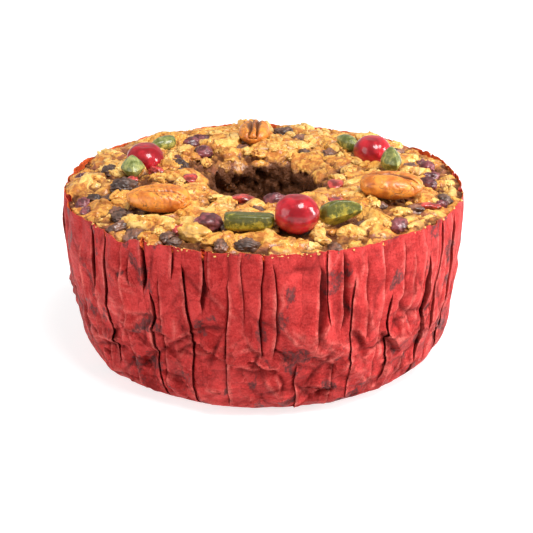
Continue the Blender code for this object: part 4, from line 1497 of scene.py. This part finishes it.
def crumb_piece():
    """Loose crumbs and chips of nut on the top, and some that stick to the paper's rim."""
    draw = np.random.default_rng(19)
    top = real_top()
    spots = []
    while len(spots) < LOOSE_CRUMBS:
        reach = math.sqrt(draw.uniform(CRUMB_REACH ** 2, (CASE_RADIUS - 1.0 * MM) ** 2))
        angle = draw.uniform(0.0, TURN)
        x, y = reach * math.cos(angle), reach * math.sin(angle)
        level = height_at(top, x, y)
        if level is not None and level > RIM_HEIGHT - 5.0 * MM:
            spots.append((x, y, level))
    on_rim = rim_spots(draw, RIM_CRUMBS)
    spots = np.concatenate([np.array(spots), on_rim])
    size = draw.uniform(0.35, 1.0, len(spots)) ** 1.7 * 0.85 * MM
    size[-len(on_rim):] *= draw.uniform(0.35, 1.05, len(on_rim))
    forms, faces, swell = lump_forms(draw, len(spots), 2, 0.2, 0.10, (1.0, 1.6))
    points = np.einsum("nij,nmj->nmi", tumble(draw, len(spots), 1.0), forms) * size[:, None, None]
    points += spots[:, None, :]
    tone = np.clip(draw.normal(0.55, 0.28, len(spots)), 0.0, 1.0)
    tone[-len(on_rim):] = 0.75
    return joined_lumps("crumbs", points, faces, swell, tone, np.array(0.0))


class RINGCAKE_OT_crumbs(bpy.types.Operator):
    """Sprinkle loose crumbs on everything."""

    bl_idname = "ring_cake.crumbs"
    bl_label = "Crumbs"

    def execute(self, context):
        finish_piece(crumb_piece(), bpy.data.materials["Glazed nut meat"])
        return {"FINISHED"}


# ---------------------------------------------------------------------------
# Toppings that the CAD names
# ---------------------------------------------------------------------------


def lie(name):
    """Centre, half sizes along the topping's own axes and heading of a CAD topping."""
    points = np.array([vertex.co[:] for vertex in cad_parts[name].data.vertices])
    low, high = points.min(axis=0), points.max(axis=0)
    centre = 0.5 * (low + high)
    flat = points[:, :2] - centre[:2]
    spread_of = np.cov(flat.T)
    _, axes = np.linalg.eigh(spread_of)
    along = axes[:, 1] if axes[0, 1] >= 0.0 else -axes[:, 1]
    heading = math.atan2(along[1], along[0])
    own = turned(np.column_stack([flat, points[:, 2] - centre[2]]), -heading)
    return centre, 0.5 * (own.max(axis=0) - own.min(axis=0)), heading


def laid_form(name, node_name, points, faces, attributes=(), grow=(1.0, 1.0, 1.0), raised=0.0):
    """A topping of unit half sizes, stretched and turned to where the CAD has it."""
    centre, half, heading = lie(node_name)
    placed = turned(points * half * np.array(grow), heading) + centre + np.array([0.0, 0.0, raised])
    return new_mesh(name, placed, faces, attributes)


def own_offset(name, step, count):
    """A shift for a topping's noise, so that no two look alike."""
    return step * (sum(map(ord, name)) % count)


def cherry(name):
    """A glazed cherry with a dimple on top and the shallow dents of its skin."""
    ball, faces = globe(5)
    offset = own_offset(name, 7.0, 13)
    crown = np.exp(-((1.0 - ball[:, 2]) / 0.10) ** 2)
    dents = billows(ball * 1.6 + offset, 1, 92)
    size = 1.0 + 0.04 * layered(ball * 1.5 + offset, 2, 91) - 0.10 * crown
    size = size - 0.025 * np.exp(-dents / 0.12)
    return laid_form(name + "_glazed", name, ball * size[:, None], faces)


def slab(ball):
    """A cut bar with a flat top and upright sides."""
    block = np.sign(ball) * np.abs(ball) ** 0.42
    block[:, 2] *= 1.0 - 0.10 * block[:, 0]
    return block * np.array([0.92, 0.88, 0.86])


def leaf(ball):
    """A thick segment, round on top, cut straight below towards the right, where it is pointed."""
    block = ball.copy()
    right = ease(0.5 + 0.5 * ball[:, 0])
    block[:, 1] *= 1.0 - 0.50 * right ** 1.6
    block[:, 2] = block[:, 2] * (1.0 - 0.30 * right ** 2) + 0.30 * right ** 2
    block[:, 0] = block[:, 0] * 1.10 + 0.05
    for facing, limit in (((0.45, -0.58, -0.68), 0.42), ((0.25, -0.86, 0.44), 0.62)):
        beyond = np.maximum(block @ np.array(facing) - limit, 0.0)
        block = block - beyond[:, None] * np.array(facing)
    return block


def gem(ball):
    """A piece cut to a corner on top, four-sided like a diamond."""
    block = np.sign(ball) * np.abs(ball) ** 1.45
    return block * np.array([1.18, 1.15, 1.22])


def bean(ball):
    """A smooth long piece."""
    block = np.sign(ball) * np.abs(ball) ** 0.85
    block[:, 2] *= 1.0 + 0.14 * ball[:, 0]
    return block * np.array([1.0, 0.92, 0.95])


# The green slices: form, growth along each of its axes, and how clear the flesh is.
GREEN_FORMS = {
    "green_front_left": (slab, (1.04, 1.0, 1.02), 0.06),
    "green_front_right": (leaf, (1.08, 1.10, 1.10), 0.12),
    "green_right_front": (gem, (1.0, 1.1, 1.05), 0.50),
    "green_right_back": (bean, (1.0, 1.0, 1.0), 0.40),
    "green_left_front": (gem, (1.05, 1.15, 1.05), 0.65),
    "green_left_back": (bean, (1.0, 1.0, 1.0), 0.48),
}


def green(name):
    """A candied green slice, with masks of where painted light seems to come through it and of how clear it
    is.
    """
    ball, faces = globe(5)
    offset = own_offset(name, 5.0, 17)
    form, grow, clear = GREEN_FORMS[name]
    size = 1.0 + 0.05 * layered(ball * 1.6 + offset, 2, 93) + 0.022 * layered(ball * 7.0 + offset, 2, 94)
    points = form(ball) * size[:, None]
    # Painted light: lighter towards the bottom, as if lit through.
    lit = ease((0.85 - points[:, 2]) / 1.6)
    numbers = (("lit", lit), ("clear", np.full(len(points), clear)))
    return laid_form(name + "_candied", name, points, faces, numbers, grow, 0.4 * MM)


# The pecan halves' grooves: how far aside, slant, depth, width, and the places along the half,
# from -1 to 1, where each starts and stops.
PECAN_GROOVES = {
    "pecan_left": ((-0.45, -0.10, 0.13, 0.08, -0.55, 0.92), (0.12, 0.10, 0.16, 0.10, -0.95, 0.80)),
    "pecan_right": ((-0.10, -0.34, 0.34, 0.095, -0.92, 0.95),),
    "pecan_back": ((-0.27, 0.0, 0.46, 0.13, -1.4, 1.2), (0.29, 0.0, 0.46, 0.13, -1.4, 1.2)),
}
# How much wider each half grows along its length.
PECAN_TAPER = {"pecan_left": 0.16, "pecan_right": -0.06, "pecan_back": -0.08}
# The cracks across their backs: place along the half, bow and depth.
PECAN_CRACKS = {
    "pecan_left": (
        (-0.55, 0.25, 0.022), (-0.30, 0.34, 0.030), (-0.05, 0.40, 0.034), (0.12, 0.46, 0.045),
        (0.28, 0.50, 0.055), (0.46, 0.44, 0.045), (0.64, 0.30, 0.030),
    ),
    "pecan_right": ((0.38, 0.30, 0.060), (-0.40, 0.22, 0.016)),
    "pecan_back": ((0.10, 0.2, 0.03),),
}


def pecan_form(name):
    """A pecan half, back up, with long grooves and cracks across: its points, ring by ring and then
    its two ends, their swell mask, how many rings there are and how many points in each."""
    stations, around = 88, 104
    lean = np.linspace(0.0, math.pi, stations + 2)[1:-1][:, None]
    turn = np.linspace(0.0, TURN, around, endpoint=False)[None, :]
    offset = own_offset(name, 3.0, 19)
    along = -np.cos(lean) + 0.0 * turn
    ring = np.sin(lean) ** 0.80 * (1.0 + PECAN_TAPER[name] * along)
    place = np.stack([along * 2.0, ring * np.cos(turn), ring * np.sin(turn)], axis=-1)
    wobble = waves(place * 1.3 + offset, 96)
    cut = 0.0 * along
    for across, slant, depth, width, start, stop in PECAN_GROOVES[name]:
        aside = (across + slant * along) / np.maximum(ring, 1e-6)
        curl = np.arccos(np.clip(aside, -1.0, 1.0)) + 0.12 * wobble
        from_line = np.angle(np.exp(1j * (turn - curl)))
        within = ease((along - start) / 0.15) * ease((stop - along) / 0.25)
        groove = np.exp(-(from_line / width) ** 2) + 0.30 * np.exp(-(from_line / 0.38) ** 2)
        cut = cut + within * depth * groove
    upper = ease((np.sin(turn) + 0.55) / 0.5)
    for middle, bow, depth in PECAN_CRACKS[name]:
        from_line = along - middle - bow * np.cos(turn) ** 2 - 0.20 * wobble
        crack = np.exp(-(from_line / 0.026) ** 2) + 0.5 * np.exp(-(from_line / 0.13) ** 2)
        cut = cut + depth * upper * crack
    dents = layered(place * 1.4 + offset, 2, 97)
    wrinkles = billows(place * np.array([0.9, 2.2, 2.2]) + offset, 2, 98)
    lines = np.exp(-(waves(place * np.array([2.6, 1.3, 1.3]) + offset, 95) / 0.07) ** 2)
    lines = lines * ease((waves(place * 0.9 + offset, 100) + 0.25) / 0.4)
    shape = 1.0 - cut + 0.06 * dents - 0.050 * np.exp(-wrinkles / 0.13) - 0.030 * lines
    reach = ring * shape
    aside = np.sign(np.cos(turn)) * np.abs(np.cos(turn)) ** 0.92
    cleft = 1.0 - 0.55 * cut * ease((np.abs(along) - 0.50) / 0.45)
    points = np.stack([along * cleft, reach * aside, reach * np.sin(turn)], axis=-1).reshape(-1, 3)
    points = np.concatenate([points, [[-0.96, 0.0, 0.0], [0.96, 0.0, 0.0]]])
    swell = np.clip(1.0 - 3.6 * cut - 0.30 * np.exp(-wrinkles / 0.10) - 0.55 * lines, 0.0, 1.0)
    return points, np.concatenate([swell.reshape(-1), [0.5, 0.5]]), stations, around


def pecan_piece(name):
    """The pecan half's mesh, with its two ends closed."""
    points, swell, stations, around = pecan_form(name)
    first = len(points) - 2
    quads = grid_faces(stations, around, ring=False)
    sides = np.concatenate([quads[:, [0, 3, 2]], quads[:, [0, 2, 1]]])
    here = np.arange(around)
    after = (here + 1) % around
    start = np.column_stack([np.full(around, first), after, here])
    base = (stations - 1) * around
    end = np.column_stack([np.full(around, first + 1), base + here, base + after])
    faces = np.concatenate([sides, start, end])
    grow = (1.02, 1.03, 1.03)
    return laid_form(name + "_half", name, points, faces, (("swell", swell),), grow, 0.5 * MM)


def dried(name, wrinkle, level, grow=1.0):
    """A piece of dried or soaked fruit, wrinkled by a share of its size."""
    ball, faces = globe(level)
    offset = own_offset(name, 5.0, 23)
    folds = billows(ball * np.array([1.2, 2.1, 2.1]) + offset, 3, 99, 0.58)
    size = 0.96 + wrinkle * (folds - 0.5) + 0.07 * layered(ball * 1.2 + offset, 2, 101)
    return laid_form(name + "_fruit", name, ball * size[:, None], faces, (), (grow, grow, grow))


def slice_piece(name):
    """A cut piece of red cherry: a curled flap with a thin edge."""
    ball, faces = globe(4)
    offset = own_offset(name, 5.0, 29)
    flap = ball.copy()
    thin = np.sign(ball[:, 2]) * np.abs(ball[:, 2]) ** 1.4 * 0.75
    flap[:, 2] = thin + 0.42 * (ball[:, 1] ** 2) - 0.1
    size = 0.98 + 0.12 * layered(ball * 1.5 + offset, 2, 103)
    return laid_form(name + "_flap", name, flap * size[:, None], faces)


class RINGCAKE_OT_cherries(bpy.types.Operator):
    """Set the glazed cherries."""

    bl_idname = "ring_cake.cherries"
    bl_label = "Cherries"

    def execute(self, context):
        material = cherry_material(settings("ring_cake_fruit"))
        for name in ("cherry_front", "cherry_right", "cherry_left"):
            finish_piece(cherry(name), material, [name])
        return {"FINISHED"}


class RINGCAKE_OT_greens(bpy.types.Operator):
    """Lay the candied green slices."""

    bl_idname = "ring_cake.greens"
    bl_label = "Green slices"

    def execute(self, context):
        material = green_material(settings("ring_cake_fruit"))
        for name in sorted(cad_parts):
            if name.startswith("green_"):
                finish_piece(green(name), material, [name])
        return {"FINISHED"}


class RINGCAKE_OT_pecans(bpy.types.Operator):
    """Lay the pecan halves."""

    bl_idname = "ring_cake.pecans"
    bl_label = "Pecan halves"

    def execute(self, context):
        material = pecan_material(settings("ring_cake_fruit"))
        for name in sorted(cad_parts):
            if name.startswith("pecan_"):
                finish_piece(pecan_piece(name), material, [name])
        return {"FINISHED"}


class RINGCAKE_OT_fruit(bpy.types.Operator):
    """Bed the raisins, dark cherries, red slices and pale fruit."""

    bl_idname = "ring_cake.fruit"
    bl_label = "Bedded fruit"

    def execute(self, context):
        fruit = settings("ring_cake_fruit")
        dark_scatter = (1.0 * MM, 0.3 * MM, 0.4 * MM)
        red_scatter = (2.0 * MM, 0.3 * MM, 0.2 * MM)
        dark = fruit_material("Dark cherry", fruit.plum, 0.40, 0.25, 0.06, dark_scatter)
        raisin = fruit_material("Raisin", fruit.raisin, 0.50, 0.16, 0.06)
        red = fruit_material("Red cherry flesh", fruit.red_slice, 0.28, 0.6, 0.0, red_scatter)
        pale = fruit_material("Pale fruit", fruit.pale, 0.42, 0.15, 0.0, None, 0.95)
        for name in sorted(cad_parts):
            if name.startswith("dark_cherry_"):
                finish_piece(dried(name, 0.19, 4), dark, [name])
            elif name.startswith("raisin_"):
                finish_piece(dried(name, 0.31, 5), raisin, [name])
            elif name.startswith("cherry_slice_"):
                finish_piece(slice_piece(name), red, [name])
            elif name == "pale_fruit":
                finish_piece(dried(name, 0.34, 4, 1.2), pale, [name])
        return {"FINISHED"}


# ---------------------------------------------------------------------------
# Stage
# ---------------------------------------------------------------------------


# How far the floor reaches on every side, in metres.
FLOOR_REACH = 4.0
# The camera's sensor, in millimetres, and how far its lens is shifted, in shares of that.
SENSOR_WIDTH = 36.0
LENS_SHIFT = (0.0056, -0.0084)
# What the soft lights face.
LIT_PLACE = Vector((0.0, 0.0, 50.0 * MM))
# The soft lights: name, place, width and height in metres, and share of the power.
SOFT_LIGHTS = (
    ("top light", (0.34, -0.42, 1.08), 0.60, 0.45, 1.25),
    ("side light", (1.10, -0.16, 0.30), 0.30, 0.75, 1.15),
    ("fill light", (-1.00, -0.45, 0.40), 0.70, 0.70, 0.33),
)


def soft_light(name, place, wide, high, power):
    """A soft light of a width and height that faces the cake."""
    lamp = bpy.data.lights.new(name, "AREA")
    lamp.shape = "RECTANGLE"
    lamp.size = wide
    lamp.size_y = high
    lamp.energy = power
    made = bpy.data.objects.new(name, lamp)
    bpy.context.collection.objects.link(made)
    made.location = place
    made.rotation_euler = (LIT_PLACE - Vector(place)).to_track_quat("-Z", "Y").to_euler()
    return made


def light_path(tree):
    """One where the camera looks straight at something, nought for the light that bounces."""
    return tree.nodes.new("ShaderNodeLightPath").outputs["Is Camera Ray"]


def stage_floor(setup):
    """A wide pale floor."""
    corners = np.array([[-1.0, -1.0, 0.0], [1.0, -1.0, 0.0], [1.0, 1.0, 0.0], [-1.0, 1.0, 0.0]])
    floor = new_mesh("floor", FLOOR_REACH * corners, np.array([[0, 1, 2, 3]]))
    made, _, shader = new_material("Pale floor", 0.9, specular=0.1)
    shader.inputs["Base Color"].default_value = (*setup.floor, 1.0)
    shader.inputs["Emission Color"].default_value = (1.0, 1.0, 1.0, 1.0)
    shader.inputs["Emission Strength"].default_value = setup.glow
    floor.data.materials.append(made)
    return floor


def camera(setup):
    """The camera in front of the cake, looking a little down on it."""
    lens = bpy.data.cameras.new("camera")
    lens.lens = setup.lens
    lens.sensor_width = SENSOR_WIDTH
    lens.shift_x, lens.shift_y = LENS_SHIFT
    made = bpy.data.objects.new("camera", lens)
    bpy.context.collection.objects.link(made)
    aim = Vector((0.0, 0.0, 0.5 * RIM_HEIGHT))
    back = Vector((0.0, -math.cos(setup.elevation), math.sin(setup.elevation)))
    made.location = aim + back * setup.distance
    made.rotation_euler = (-back).to_track_quat("-Z", "Y").to_euler()
    bpy.context.scene.camera = made
    return made


def room(setup):
    """An even light all round, which the camera itself sees as plain white."""
    world = bpy.data.worlds.new("room")
    world.use_nodes = True
    tree = world.node_tree
    background = tree.nodes["Background"]
    background.inputs["Color"].default_value = (1.0, 1.0, 1.0, 1.0)
    seen = math_node(tree, "MULTIPLY", light_path(tree), 1.0 - setup.sky)
    tree.links.new(math_node(tree, "ADD", seen, setup.sky), background.inputs["Strength"])
    return world


class RINGCAKE_OT_stage(bpy.types.Operator):
    """Set the floor, the soft lights, the room and the camera."""

    bl_idname = "ring_cake.stage"
    bl_label = "Stage"

    def execute(self, context):
        setup = settings("ring_cake_stage")
        stage_floor(setup)
        camera(setup)
        for name, place, wide, high, part in SOFT_LIGHTS:
            soft_light(name, place, wide, high, part * setup.key)
        context.scene.world = room(setup)
        context.scene.view_settings.view_transform = "Standard"
        return {"FINISHED"}


OPERATORS = (
    RINGCAKE_OT_stage,
    RINGCAKE_OT_paper_case,
    RINGCAKE_OT_body,
    RINGCAKE_OT_nuts,
    RINGCAKE_OT_cherries,
    RINGCAKE_OT_greens,
    RINGCAKE_OT_pecans,
    RINGCAKE_OT_fruit,
    RINGCAKE_OT_small_fruit,
    RINGCAKE_OT_crumbs,
)


class RINGCAKE_PT_panel(bpy.types.Panel):
    """The cake's settings and its steps, in the sidebar."""

    bl_idname = "RINGCAKE_PT_panel"
    bl_label = "Nut ring cake"
    bl_space_type = "VIEW_3D"
    bl_region_type = "UI"
    bl_category = "Cake"

    def draw(self, context):
        for name, group in SETTINGS.items():
            box = self.layout.box()
            for label in group.__annotations__:
                box.prop(getattr(context.scene, name), label)
        for operator in OPERATORS:
            self.layout.operator(operator.bl_idname)


def register():
    """Add the classes and the settings."""
    for group in (*SETTINGS.values(), *OPERATORS, RINGCAKE_PT_panel):
        bpy.utils.register_class(group)
    for name, group in SETTINGS.items():
        setattr(bpy.types.Scene, name, bpy.props.PointerProperty(type=group))


def unregister():
    """Take the settings and the classes away again."""
    for name in SETTINGS:
        delattr(bpy.types.Scene, name)
    for group in (RINGCAKE_PT_panel, *reversed(OPERATORS), *reversed(SETTINGS.values())):
        bpy.utils.unregister_class(group)


def main():
    """Build everything."""
    register()
    bpy.ops.ring_cake.stage()
    bpy.ops.ring_cake.paper_case()
    bpy.ops.ring_cake.body()
    bpy.ops.ring_cake.nuts()
    bpy.ops.ring_cake.cherries()
    bpy.ops.ring_cake.greens()
    bpy.ops.ring_cake.pecans()
    bpy.ops.ring_cake.fruit()
    bpy.ops.ring_cake.small_fruit()
    bpy.ops.ring_cake.crumbs()


if __name__ == "__main__":
    main()
